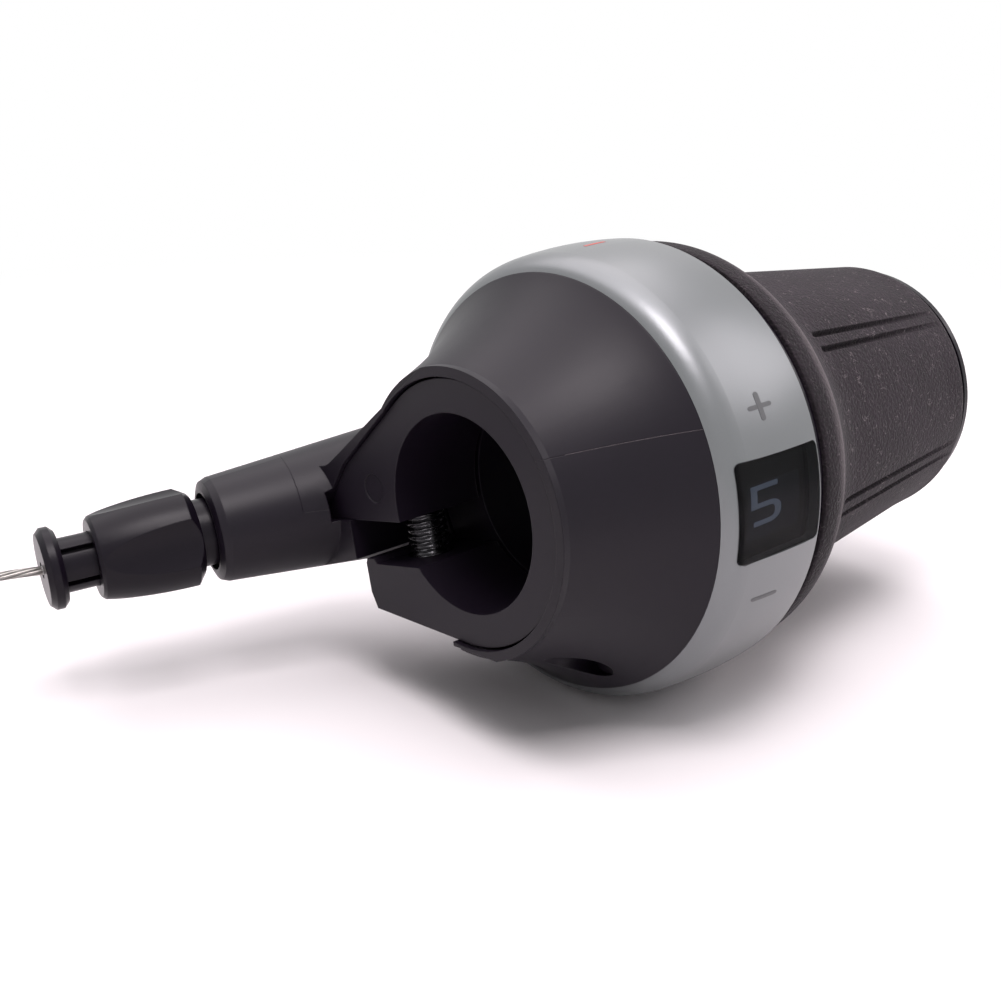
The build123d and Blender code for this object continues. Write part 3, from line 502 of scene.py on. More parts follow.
class Finishes:
    """Every finish of the part, made once."""

    def __init__(self) -> None:
        """Make the materials."""
        black = (0.0065, 0.0042, 0.0086)
        self.housing = MouldedPlastic("housing_plastic", black, 0.42).material()
        self.clamp = MouldedPlastic("clamp_plastic", shade(black, 1.1), 0.42, grain_mm=0.2).material()
        self.knob = MouldedPlastic("knob_plastic", shade(black, 0.85), 0.32, edge_mm=0.2,
                                   shine=0.17).material()
        self.core = MouldedPlastic("core_plastic", shade(black, 0.9), 0.2, depth_mm=0.002).material()
        self.inner = MouldedPlastic("inner_plastic", (0.36, 0.36, 0.37), 0.4).material()
        self.dial = Print("dial_plastic", (0.003, 0.003, 0.004), 0.6).material()
        self.tile = Print("dial_tile_ink", (0.02, 0.025, 0.04), 0.5).material()
        self.figure = Print("dial_figure_ink", (0.52, 0.68, 0.92), 0.5).material()
        self.silver = SilverPaint("silver_paint", (0.185, 0.194, 0.2), 0.37).material()
        self.mark = Print("ring_mark_ink", (0.085, 0.088, 0.092), 0.55).material()
        self.index = Print("ring_index_ink", (0.5, 0.07, 0.06), 0.45).material()
        self.lens = SmokedLens("smoked_lens", (0.002, 0.002, 0.003), 0.45).material()
        self.rubber = GripRubber("grip_rubber", (0.017, 0.012, 0.0162), (0.34, 0.29, 0.305)).material()
        # Paler than the housing, so the seam bead shows a painted highlight.
        self.seam = MouldedPlastic("seam_highlight_plastic", (0.1, 0.085, 0.095), 0.5).material()
        self.bolt = Metal("black_bolt_steel", (0.16, 0.155, 0.165), 0.24).material()
        self.steel = Metal("zinc_steel", (0.6, 0.6, 0.61), 0.32).material()
        self.cap = Metal("cap_aluminium", (0.72, 0.72, 0.74), 0.3, stretch=(1.0, 1.0, 1.0)).material()
        self.wire = StrandedWire("stranded_wire", (0.42, 0.4, 0.38), 7, 265.0).material()
        self.tie = MouldedPlastic("tie_plastic", (0.012, 0.012, 0.012), 0.5).material()


def in_scene(obj: bpy.types.Object) -> bpy.types.Object:
    """Link an object to the scene."""
    bpy.context.scene.collection.objects.link(obj)
    return obj


def smooth(mesh: bpy.types.Mesh, angle: float) -> None:
    """Shade a mesh smooth, with sharp edges past an angle in degrees."""
    mesh.shade_smooth()
    mesh.set_sharp_from_angle(angle=math.radians(angle))


def quads(rows: int, columns: int, closed: bool = False) -> list[list[int]]:
    """Faces of a grid of corners that runs round in its columns.

    Args:
        rows: number of rows of corners.
        columns: number of corners in a row.
        closed: whether the last row joins the first.

    Returns:
        Four corner numbers for each face.
    """
    return [[row * columns + column, row * columns + (column + 1) % columns,
             (row + 1) % rows * columns + (column + 1) % columns, (row + 1) % rows * columns + column]
            for row in range(rows if closed else rows - 1) for column in range(columns)]


def mesh_piece(name: str, verts: Sequence[Point], faces: Sequence[Sequence[int]],
               finish: bpy.types.Material, angle: float = 35.0) -> bpy.types.Object:
    """Make a piece from corners and faces.

    Args:
        name: the piece's name.
        verts: corners in metres.
        faces: corner numbers of each face.
        finish: its material.
        angle: edges sharper than this stay sharp.

    Returns:
        The new object, at the origin.
    """
    mesh = bpy.data.meshes.new(name)
    mesh.from_pydata(verts, [], faces)
    work = bmesh.new()
    work.from_mesh(mesh)
    bmesh.ops.remove_doubles(work, verts=work.verts, dist=1e-7)
    bmesh.ops.recalc_face_normals(work, faces=work.faces)
    work.to_mesh(mesh)
    work.free()
    smooth(mesh, angle)
    mesh.materials.append(finish)
    return in_scene(bpy.data.objects.new(name, mesh))


def settle(piece: bpy.types.Object, body: Body) -> bpy.types.Object:
    """Let a piece ride on a body and report it.

    Args:
        piece: the finished object.
        body: what carries it.

    Returns:
        The same object.
    """
    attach(piece, body.value)
    LOG.info("piece %s on %s", piece.name, body.value)
    return piece


def round_the_bar(x: float, radius: float, angle: float) -> Point:
    """Point at a place along the bar, a radius and an angle in degrees, all lengths in metres."""
    turn = math.radians(angle)
    return (x, radius * math.cos(turn), radius * math.sin(turn))


class Growth:
    """A Geometry Nodes tree that is turned into a plain mesh piece."""

    def __init__(self, name: str, sizes: dict[str, float], seed: Optional[bpy.types.Mesh] = None) -> None:
        """Start a tree with named inputs.

        Args:
            name: the tree's and the piece's name.
            sizes: input names with their values, whole numbers for counts.
            seed: mesh that the tree starts from, if it needs one.
        """
        self.name = name
        self.sizes = sizes
        self.seed = seed or bpy.data.meshes.new(name + "_seed")
        self.tree = bpy.data.node_groups.new(name, "GeometryNodeTree")
        self.tree.interface.new_socket("Geometry", in_out="INPUT", socket_type="NodeSocketGeometry")
        for key, value in sizes.items():
            kind = "NodeSocketInt" if isinstance(value, int) else "NodeSocketFloat"
            self.tree.interface.new_socket(key, in_out="INPUT", socket_type=kind)
        self.tree.interface.new_socket("Geometry", in_out="OUTPUT", socket_type="NodeSocketGeometry")
        self.graph = Graph(self.tree)
        self.entry = self.graph.node("NodeGroupInput")

    def size(self, key: str) -> Value:
        """Named input as a term."""
        return Value(self.graph, self.entry.outputs[key])

    def spot(self) -> list[Value]:
        """Place of each point as three terms."""
        return self.graph.parts(self.graph.node("GeometryNodeInputPosition").outputs[0])

    def vector(self, x: Term, y: Term, z: Term) -> bpy.types.NodeSocket:
        """One vector from three terms."""
        return self.graph.node("ShaderNodeCombineXYZ", inputs={0: x, 1: y, 2: z}).outputs[0]

    def moved(self, geometry: bpy.types.NodeSocket, x: Term, y: Term, z: Term) -> bpy.types.NodeSocket:
        """Geometry with its points set to new places."""
        inputs = {"Geometry": geometry, "Position": self.vector(x, y, z)}
        return self.graph.node("GeometryNodeSetPosition", inputs=inputs).outputs[0]

    def piece(self, geometry: bpy.types.NodeSocket, finish: bpy.types.Material,
              place: Optional[Matrix] = None, angle: float = 40.0) -> bpy.types.Object:
        """Finish the tree and turn its result into a piece.

        Args:
            geometry: what the tree makes.
            finish: material of the result.
            place: where the result goes, put into its mesh.
            angle: edges sharper than this stay sharp.

        Returns:
            A mesh object with no modifier.
        """
        real = self.graph.node("GeometryNodeRealizeInstances", inputs={0: geometry})
        dressed = self.graph.node("GeometryNodeSetMaterial",
                                  inputs={"Geometry": real.outputs[0], "Material": finish})
        self.graph.node("NodeGroupOutput", inputs={"Geometry": dressed.outputs[0]})
        holder = in_scene(bpy.data.objects.new(self.name + "_growth", self.seed))
        modifier = holder.modifiers.new(self.name, "NODES")
        modifier.node_group = self.tree
        for item in self.tree.interface.items_tree:
            if item.in_out == "INPUT" and item.name in self.sizes:
                modifier[item.identifier] = self.sizes[item.name]
        depsgraph = bpy.context.evaluated_depsgraph_get()
        mesh = bpy.data.meshes.new_from_object(holder.evaluated_get(depsgraph))
        holder.modifiers.remove(modifier)
        bpy.data.objects.remove(holder)
        mesh.name = self.name
        mesh.transform(place or Matrix())
        smooth(mesh, angle)
        return in_scene(bpy.data.objects.new(self.name, mesh))


@dataclass
class Assembly:
    """A sub-assembly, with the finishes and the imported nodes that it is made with."""

    finishes: Finishes
    nodes: Nodes

    def surface(self, *names: str) -> BVHTree:
        """Gather the triangles of some nodes.

        Args:
            names: the nodes' names.

        Returns:
            A search tree over them.
        """
        verts: list[Vector] = []
        faces: list[tuple[int, ...]] = []
        for name in names:
            mesh = self.nodes[name].data
            first = len(verts)
            verts += [v.co.copy() for v in mesh.vertices]
            faces += [tuple(first + i for i in p.vertices) for p in mesh.polygons]
        return BVHTree.FromPolygons(verts, faces)

    def build(self) -> None:
        """Make the pieces, each sub-assembly its own."""
        raise NotImplementedError


@dataclass
class ClampBolt(Assembly):
    """Socket head bolt through the clamp's jaws, with its thread cut."""

    along: float = 6.3 * MM
    out: float = 14.4 * MM
    head_z: float = -12.118 * MM
    tip_z: float = 6.4 * MM
    radius: float = 2.5 * MM
    thread_depth: float = 0.4 * MM
    pitch: float = 0.8 * MM
    thread_from: float = 3.6 * MM
    thread_corners: int = 40
    rows_per_pitch: int = 8
    head_r: float = 3.62 * MM
    head_h: float = 4.0 * MM
    head_corners: int = 48
    rim: float = 0.35 * MM
    foot: float = 0.1 * MM
    socket_r: float = 2.0 * MM
    socket_depth: float = 2.4 * MM
    socket_lip: float = 0.25 * MM
    socket_flare: float = 1.16
    socket_hub: float = 0.04 * MM
    knurls: int = 30
    rib: float = 0.22 * MM
    rib_r: float = 3.58 * MM
    rib_h: float = 2.88 * MM
    rib_middle: float = 2.08 * MM

    def place(self, height: float = 0.0) -> Matrix:
        """From a height on the bolt's own axis to its place in the clamp."""
        turn = Matrix.Rotation(math.radians(JAW_TURN), 4, "X")
        return turn @ Matrix.Translation((self.along, self.out, self.head_z + height))

    def shank(self) -> bpy.types.Object:
        """Make the threaded shank, a fine cylinder drawn in along a helix.

        Returns:
            The shank.
        """
        length = self.tip_z - self.head_z - self.thread_from
        growth = Growth("clamp_bolt_thread", {
            "Radius": self.radius, "Depth": self.thread_depth, "Pitch": self.pitch, "Length": length,
            "Corners": self.thread_corners, "Rows": int(length / self.pitch * self.rows_per_pitch)})
        rod = growth.graph.node("GeometryNodeMeshCylinder", inputs={
            "Vertices": growth.size("Corners"), "Side Segments": growth.size("Rows"),
            "Radius": growth.size("Radius"), "Depth": growth.size("Length")})
        x, y, z = growth.spot()
        phase = (z / growth.size("Pitch") - growth.graph.maths("ARCTAN2", y, x) / TURN) % 1.0
        shrink = 1.0 - abs(phase * 2.0 - 1.0) * growth.size("Depth") / growth.size("Radius")
        cut = growth.moved(rod.outputs["Mesh"], x * shrink, y * shrink, z)
        return growth.piece(cut, self.finishes.bolt, self.place(self.thread_from + length / 2))

    def head(self) -> bpy.types.Object:
        """Make the round head with a hexagon socket in its outer face.

        Returns:
            The head.
        """
        rings = [(self.socket_hub, self.socket_depth, True), (self.socket_r, self.socket_depth, True),
                 (self.socket_r, self.socket_lip, True), (self.socket_r * self.socket_flare, 0.0, False),
                 (self.head_r - self.rim, 0.0, False), (self.head_r, self.rim, False),
                 (self.head_r, self.head_h - self.foot, False), (self.head_r - self.foot, self.head_h, False),
                 (self.radius / 2, self.head_h, False)]
        around = self.head_corners
        place = self.place()
        verts: list[Point] = []
        for radius, height, six_sided in rings:
            for step in range(around):
                turn = TURN * step / around
                side = turn % (TURN / 6) - TURN / 12
                reach = radius * math.cos(TURN / 12) / math.cos(side) if six_sided else radius
                verts.append(tuple(place @ Vector((reach * math.cos(turn), reach * math.sin(turn), height))))
        last = (len(rings) - 1) * around
        ends = [list(range(around)), list(range(last, last + around))]
        faces = quads(len(rings), around) + ends
        return mesh_piece("clamp_bolt_head", verts, faces, self.finishes.bolt, angle=30.0)

    def knurl(self) -> bpy.types.Object:
        """Make the fine ribs round the head.

        Returns:
            All ribs as one piece.
        """
        growth = Growth("clamp_bolt_knurl", {"Reach": self.rib_r, "Height": self.rib_h, "Rib": self.rib,
                                             "Count": self.knurls})
        graph = growth.graph
        ring = graph.node("GeometryNodeCurvePrimitiveCircle", {"mode": "RADIUS"},
                          {"Resolution": growth.size("Count"), "Radius": growth.size("Reach")})
        rib_size = growth.vector(growth.size("Rib"), growth.size("Rib"), growth.size("Height"))
        rib = graph.node("GeometryNodeMeshCube", inputs={"Size": rib_size})
        x, y, _ = growth.spot()
        facing = growth.vector(0.0, 0.0, graph.maths("ARCTAN2", y, x) + TURN / 8)
        dots = graph.node("GeometryNodeCurveToPoints", {"mode": "EVALUATED"}, {0: ring.outputs[0]})
        ribs = graph.node("GeometryNodeInstanceOnPoints", inputs={
            "Points": dots.outputs["Points"], "Instance": rib.outputs["Mesh"], "Rotation": facing})
        return growth.piece(ribs.outputs[0], self.finishes.bolt, self.place(self.rib_middle))

    def build(self) -> None:
        """Make the bolt and let it stand for the plain one."""
        settle(self.shank(), Body.BRACKET)
        head = settle(self.head(), Body.BRACKET)
        settle(self.knurl(), Body.BRACKET)
        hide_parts("clamp_bolt")


class Relief:
    """Thin raised print on a round surface, drawn as strokes."""

    runs: int = 6
    end_shares: tuple[float, ...] = (0.0, 0.1, 0.3, 0.6)
    end_width: float = 0.3

    def __init__(self, name: str, surface: Callable[[float, float], float], lift: float = 0.03 * MM) -> None:
        """Start an empty print.

        Args:
            name: the piece's name.
            surface: radius of the surface at an x and an angle.
            lift: height of the ink over the surface.
        """
        self.name = name
        self.surface = surface
        self.lift = lift
        self.verts: list[Point] = []
        self.faces: list[list[int]] = []

    def stroke(self, left: Sequence[Flat], right: Sequence[Flat]) -> None:
        """Add a closed strip between two edges.

        Args:
            left: (x, angle) corners of one edge.
            right: as many corners of the other.
        """
        first, count = len(self.verts), len(left)
        for near, far in zip(left, right):
            corners = ((near, self.lift), (near, -self.lift), (far, -self.lift), (far, self.lift))
            for (x, angle), lift in corners:
                self.verts.append(round_the_bar(x, self.surface(x, angle) + lift, angle))
        ends = [[0, 1, 2, 3], [4 * count - back for back in (4, 3, 2, 1)]]
        self.faces += [[first + corner for corner in face] for face in quads(count, 4) + ends]

    def bar(self, start: Flat, end: Flat, half_x: float, half_angle: float, ends: float = 0.0) -> None:
        """Add a straight bar.

        Args:
            start: its first (x, angle).
            end: its last (x, angle).
            half_x: half its width along the bar.
            half_angle: half its width round the bar.
            ends: share of its length that each rounded end takes.
        """
        left: list[Flat] = []
        right: list[Flat] = []
        rounded = [ends * share for share in self.end_shares] if ends else []
        middle = [ends + (1 - 2 * ends) * step / self.runs for step in range(self.runs + 1)]
        for share in rounded + middle + [1 - back for back in reversed(rounded)]:
            x = start[0] + (end[0] - start[0]) * share
            angle = start[1] + (end[1] - start[1]) * share
            inset = min(1.0, min(share, 1 - share) / ends) if ends else 1.0
            width = max(self.end_width, math.sqrt(1 - (1 - inset) ** 2))
            left.append((x - half_x * width, angle - half_angle * width))
            right.append((x + half_x * width, angle + half_angle * width))
        self.stroke(left, right)

    def piece(self, finish: bpy.types.Material) -> bpy.types.Object:
        """Make the print's mesh."""
        return mesh_piece(self.name, self.verts, self.faces, finish, angle=50.0)


@dataclass
class NumberDial(Assembly):
    """Figures on the drum behind the lens, one for each gear, with a figure's own sizes in millimetres."""

    gears: int = 5
    drum_r: float = 23.3 * MM
    centre_x: float = 22.4 * MM
    shown_angle: float = 175.0
    step: float = 28.0
    width: float = 2.68
    height: float = 4.45
    ink: float = 0.55
    ink_lift: float = 0.04 * MM
    corner: float = 0.75
    corner_steps: int = 5
    flag: float = 0.5
    longest_run: float = 0.45
    sharpest_mitre: float = 0.45
    widen: float = 1.9
    tile_x: Flat = (19.3 * MM, 28.2 * MM)
    tile_half: float = 7.6
    tile_off: float = 1.6
    tile_rows: int = 8
    tile_lift: float = 0.015 * MM

    def lines(self, figure: int) -> list[list[Flat]]:
        """Centre lines of a figure's strokes.

        Args:
            figure: which figure, from 1 to 5.

        Returns:
            The lines' points, in millimetres about the figure's middle.
        """
        w = (self.width - self.ink) / 2
        h = (self.height - self.ink) / 2
        top = [(-w, h)] + self.bow((w, h), -1) + self.bow((w, 0.0), 1)
        bottom = self.bow((w, 0.0), -1) + self.bow((w, -h), 1) + [(-w, -h)]
        return {
            1: [[(-w * 0.6, h - self.flag), (0.0, h), (0.0, -h)]],
            2: [top + [(-w, 0.0), (-w, -h), (w, -h)]],
            3: [top + [(-w * 0.4, 0.0)], bottom],
            4: [[(-w * 0.1, h), (-w, -h * 0.3), (w, -h * 0.3)], [(w * 0.45, h * 0.35), (w * 0.45, -h)]],
            5: [[(w, h), (-w, h), (-w, 0.0)] + bottom]}[figure]

    def bow(self, corner: Flat, way: int) -> list[Flat]:
        """Round a right-hand corner.

        Args:
            corner: the sharp corner.
            way: -1 turns down out of it, and 1 turns in from above.

        Returns:
            Points along the bow, from the top down.
        """
        r = self.corner
        points = []
        for step in range(self.corner_steps + 1):
            turn = TURN / 4 * step / self.corner_steps
            across, down = (math.sin(turn), math.cos(turn)) if way < 0 else (math.cos(turn), math.sin(turn))
            points.append((corner[0] - r + r * across, corner[1] + way * (r - r * down)))
        return points

    def finer(self, line: Sequence[Flat]) -> list[Flat]:
        """Add points on long runs, so that a line can bend round the drum.

        Args:
            line: points of a centre line.

        Returns:
            The line with more points.
        """
        fine = [line[0]]
        for before, after in zip(line, line[1:]):
            run = Vector(after) - Vector(before)
            count = max(1, round(run.length / self.longest_run))
            fine += [tuple(Vector(before) + run * (k / count)) for k in range(1, count + 1)]
        return fine

    def edges(self, line: Sequence[Flat]) -> tuple[list[Flat], list[Flat]]:
        """Find both edges of a stroke, with mitred corners.

        Args:
            line: points of its centre line.

        Returns:
            The left edge and the right edge.
        """
        left: list[Flat] = []
        right: list[Flat] = []
        spots = [Vector(point) for point in line]
        runs = [(after - before).normalized() for before, after in zip(spots, spots[1:])]
        for spot, run_in, run_out in zip(spots, runs[:1] + runs, runs + runs[-1:]):
            side = Vector((-(run_in.y + run_out.y), run_in.x + run_out.x)).normalized()
            mitre = max(self.sharpest_mitre, side.dot(Vector((-run_in.y, run_in.x))))
            left.append(tuple(spot + side * (self.ink / 2 / mitre)))
            right.append(tuple(spot - side * (self.ink / 2 / mitre)))
        return left, right

    def on_drum(self, flat: Flat, angle: float) -> Flat:
        """An (x, angle) on the drum for a flat point about a figure's middle."""
        return (self.centre_x + flat[0] * self.widen * MM, angle - math.degrees(flat[1] * MM / self.drum_r))

    def tile(self, figure: int, angle: float) -> Relief:
        """Print the tile under a figure.

        Args:
            figure: the figure's number.
            angle: where the figure stands on the drum.

        Returns:
            The print.
        """
        tile = Relief(f"dial_tile_{figure}", lambda x, a: self.drum_r, self.tile_lift)
        first = angle + self.tile_off - self.tile_half
        rows = [first + 2 * self.tile_half * row / self.tile_rows for row in range(self.tile_rows + 1)]
        near, far = ([(x, row) for row in rows] for x in self.tile_x)
        tile.stroke(near, far)
        return tile

    def build(self) -> None:
        """Make the tiles and the figures, riding with the grip."""
        for index in range(self.gears):
            figure = self.gears - index
            angle = self.shown_angle - index * self.step
            settle(self.tile(figure, angle).piece(self.finishes.tile), Body.GRIP)
            ink = Relief(f"dial_figure_{figure}", lambda x, a: self.drum_r, self.ink_lift)
            for line in self.lines(figure):
                left, right = self.edges(self.finer(line))
                ink.stroke([self.on_drum(spot, angle) for spot in left],
                           [self.on_drum(spot, angle) for spot in right])
            settle(ink.piece(self.finishes.figure), Body.GRIP)


def radius_on(tree: BVHTree, x: float, angle: float, far: float = 60.0 * MM) -> float:
    """Distance from the bar's axis to the outside of a surface.

    Args:
        tree: search tree of the surface.
        x: place along the bar.
        angle: degrees round the bar.
        far: radius that the search starts from.

    Returns:
        The radius, or nought where there is no surface.
    """
    hit = tree.ray_cast(Vector(round_the_bar(x, far, angle)), Vector(round_the_bar(0.0, -1.0, angle)))
    return far - hit[3] if hit[0] is not None else 0.0


@dataclass
class GripSkin(Assembly):
    """Rubber grip with soft panels and paired grooves; its hollow's knots are in millimetres."""

    start: float = 30.6 * MM
    front_r: float = 25.2 * MM
    front_round: float = 0.5 * MM
    front_nick: float = 0.15 * MM
    hollow: tuple[Flat, ...] = (
        (31.1, 25.2), (32.5, 25.18), (33.8, 24.95), (35.0, 24.45), (36.2, 23.7), (37.6, 22.65),
        (39.0, 21.65), (40.5, 20.8), (42.2, 20.2), (44.2, 19.8))
    hollow_steps: int = 4
    barrel_steps: int = 36
    end: float = 73.3 * MM
    end_r: float = 17.0 * MM
    end_round: float = 0.6 * MM
    end_steps: int = 3
    core_r: float = 15.02 * MM
    core_skin: float = 0.2 * MM
    lobes: int = 6
    lobe_angle: float = 14.5
    panel_depth: float = 0.3 * MM
    panel_from: float = 40.0 * MM
    panel_rise: float = 6.0 * MM
    panel_fade: float = 4.0 * MM
    panel_half: float = 21.0
    groove_from: float = 43.0 * MM
    groove_to: float = 71.8 * MM
    groove_lead: float = 40.0
    groove_depth: float = 0.85 * MM
    groove_half_w: float = 0.38 * MM
    groove_half: float = 2.95
    fine_half: float = 5.0
    fine_step: float = 0.2
    wide_step: float = 1.0

    def outline(self) -> list[Flat]:
        """Draw the closed outline of the turned rubber.

        Returns:
            Places along the bar with their radii.
        """
        points = [(self.start, self.core_r), (self.start, self.front_r - self.front_round),
                  (self.start + self.front_nick, self.front_r - self.front_nick)]
        knots = [Vector(knot) * MM for knot in self.hollow]
        for index in range(len(knots) - 1):
            before, here = knots[max(index - 1, 0)], knots[index]
            there, after = knots[index + 1], knots[min(index + 2, len(knots) - 1)]
            for step in range(self.hollow_steps):
                s = step / self.hollow_steps
                points.append(tuple(
                    here * (2 * s ** 3 - 3 * s ** 2 + 1) + there * (3 * s ** 2 - 2 * s ** 3)
                    + (there - before) / 2 * (s ** 3 - 2 * s ** 2 + s)
                    + (after - here) / 2 * (s ** 3 - s ** 2)))
        shoulder = Vector((self.end - self.end_round, self.end_r))
        points += [tuple(knots[-1].lerp(shoulder, step / self.barrel_steps))
                   for step in range(self.barrel_steps + 1)]
        for step in range(1, self.end_steps + 1):
            turn = TURN / 4 * step / self.end_steps
            points.append((shoulder.x + self.end_round * math.sin(turn),
                           self.end_r - self.end_round * (1 - math.cos(turn))))
        return points + [(self.end, self.core_r)]

    def columns(self) -> list[float]:
        """Space the mesh's columns, closer together where the grooves run.

        Returns:
            Their angles in degrees.
        """
        period = 360.0 / self.lobes
        wide = round((period / 2 - self.fine_half) / self.wide_step)
        fine = round(2 * self.fine_half / self.fine_step)
        lobe = [-period / 2 + step * self.wide_step for step in range(wide)]
        lobe += [-self.fine_half + step * self.fine_step for step in range(fine)]
        lobe += [self.fine_half + step * self.wide_step for step in range(wide)]
        return [self.lobe_angle + turn * period + angle for turn in range(self.lobes) for angle in lobe]

    def seed(self) -> bpy.types.Mesh:
        """Turn the rubber, without its panels and grooves.

        Returns:
            A closed mesh.
        """
        outline, angles = self.outline(), self.columns()
        verts = [round_the_bar(x, radius, angle) for x, radius in outline for angle in angles]
        mesh = bpy.data.meshes.new("grip_skin_seed")
        mesh.from_pydata(verts, [], quads(len(outline), len(angles), closed=True))
        mesh.flip_normals()
        return mesh

    def build(self) -> None:
        """Sink the panels and grooves into the turned rubber."""
        growth = Growth("grip_skin", {
            "Lobes": self.lobes, "Lobe Angle": math.radians(self.lobe_angle), "Panel Depth": self.panel_depth,
            "Panel Half": math.radians(self.panel_half), "Groove Depth": self.groove_depth,
            "Groove Half Width": self.groove_half_w, "Groove Half Angle": math.radians(self.groove_half),
            "Groove From": self.groove_from, "Groove To": self.groove_to, "Core": self.core_r}, self.seed())
        x, y, z = growth.spot()
        radius = (y * y + z * z) ** 0.5
        period = TURN / growth.size("Lobes")
        angle = growth.graph.maths("ARCTAN2", z, y) - growth.size("Lobe Angle")
        from_crest = abs((angle + period / 2) % period - period / 2)
        off_panel = ((period / 2 - from_crest) / growth.size("Panel Half")).held()
        on_barrel = ((x - self.panel_from) / self.panel_rise).held()
        near_end = ((self.end - x) / self.panel_fade).held()
        panel = (1.0 - off_panel.eased()) * growth.size("Panel Depth")
        off_groove = abs(from_crest - growth.size("Groove Half Angle")) * radius
        across = off_groove / growth.size("Groove Half Width")
        along = (x - growth.size("Groove From")) / (growth.size("Groove To") - growth.size("Groove From"))
        inside = (along * self.groove_lead).held() * (1.0 - along).held() ** 0.5
        groove = (1.0 - across * across).held() ** 0.5 * inside * growth.size("Groove Depth")
        outer = radius > growth.size("Core") + self.core_skin
        keep = 1.0 - (panel * on_barrel * near_end + groove) * outer / radius
        skin = growth.moved(growth.entry.outputs["Geometry"], x, y * keep, z * keep)
        piece = settle(growth.piece(skin, self.finishes.rubber), Body.GRIP)
        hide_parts("grip_rubber")


@dataclass
class DisplayRing(Assembly):
    """Printed marks on the silver ring."""

    plus_x: float = 20.77 * MM
    plus_angle: float = 150.5
    plus_half_x: float = 1.8 * MM
    plus_half_angle: float = 3.4
    bar_half_angle: float = 0.55
    bar_half_x: float = 0.36 * MM
    bar_ends: float = 0.1
    minus_x: Flat = (18.6 * MM, 22.7 * MM)
    minus_angle: float = 196.7
    index_x: Flat = (20.2 * MM, 23.4 * MM)
    index_angle: float = 86.0
    index_half_angle: float = 0.5

    def build(self) -> None:
        """Print plus, minus and a plain index dash."""
        ground = partial(radius_on, self.surface("display_ring"))
        names = ("ring_mark_plus", "ring_mark_minus", "ring_index_dash")
        plus, minus, dash = (Relief(name, ground) for name in names)
        x, angle = self.plus_x, self.plus_angle
        plus.bar((x - self.plus_half_x, angle), (x + self.plus_half_x, angle),
                 0.0, self.bar_half_angle, self.bar_ends)
        plus.bar((x, angle - self.plus_half_angle), (x, angle + self.plus_half_angle),
                 self.bar_half_x, 0.0, self.bar_ends)
        low, high = self.minus_x
        minus.bar((low, self.minus_angle), (high, self.minus_angle), 0.0, self.bar_half_angle, self.bar_ends)
        low, high = self.index_x
        dash.bar((low, self.index_angle), (high, self.index_angle), 0.0, self.index_half_angle)
        inks = self.finishes.mark, self.finishes.mark, self.finishes.index
        for mark, finish in zip((plus, minus, dash), inks):
            settle(mark.piece(finish), Body.BRACKET)


@dataclass
class HousingSeam(Assembly):
    """Fine bead where the two housing halves meet on the flare, with a painted highlight in its paler finish.
    """

    height: float = 6.2 * MM
    start_x: float = 1.8 * MM
    end_x: float = 13.9 * MM
    half_width: float = 0.07 * MM
    rise: float = 0.05 * MM
    steps: int = 40
    first_angle: float = 150.0
    beside: float = 0.3

    def build(self) -> None:
        """Lay the bead along the seam."""
        tree = self.surface("upper_housing", "lower_housing")
        verts: list[Point] = []
        for step in range(self.steps + 1):
            x = self.start_x + (self.end_x - self.start_x) * step / self.steps
            radius = radius_on(tree, x, self.first_angle)
            for _ in range(2):
                angle = 180.0 - math.degrees(math.asin(self.height / radius)) + JAW_TURN
                radius = radius_on(tree, x, angle + self.beside)
            spread = math.degrees(self.half_width / radius)
            for side, rise in ((-spread, -self.rise), (0.0, self.rise), (spread, -self.rise)):
                verts.append(round_the_bar(x, radius + rise, angle + side))
        last = 3 * self.steps
        faces = quads(self.steps + 1, 3) + [[0, 1, 2], [last, last + 1, last + 2]]
        # The bead's paler finish paints the highlight along the seam.
        bead = mesh_piece("housing_seam", verts, faces, self.finishes.seam, angle=60.0)
        settle(bead, Body.BRACKET)


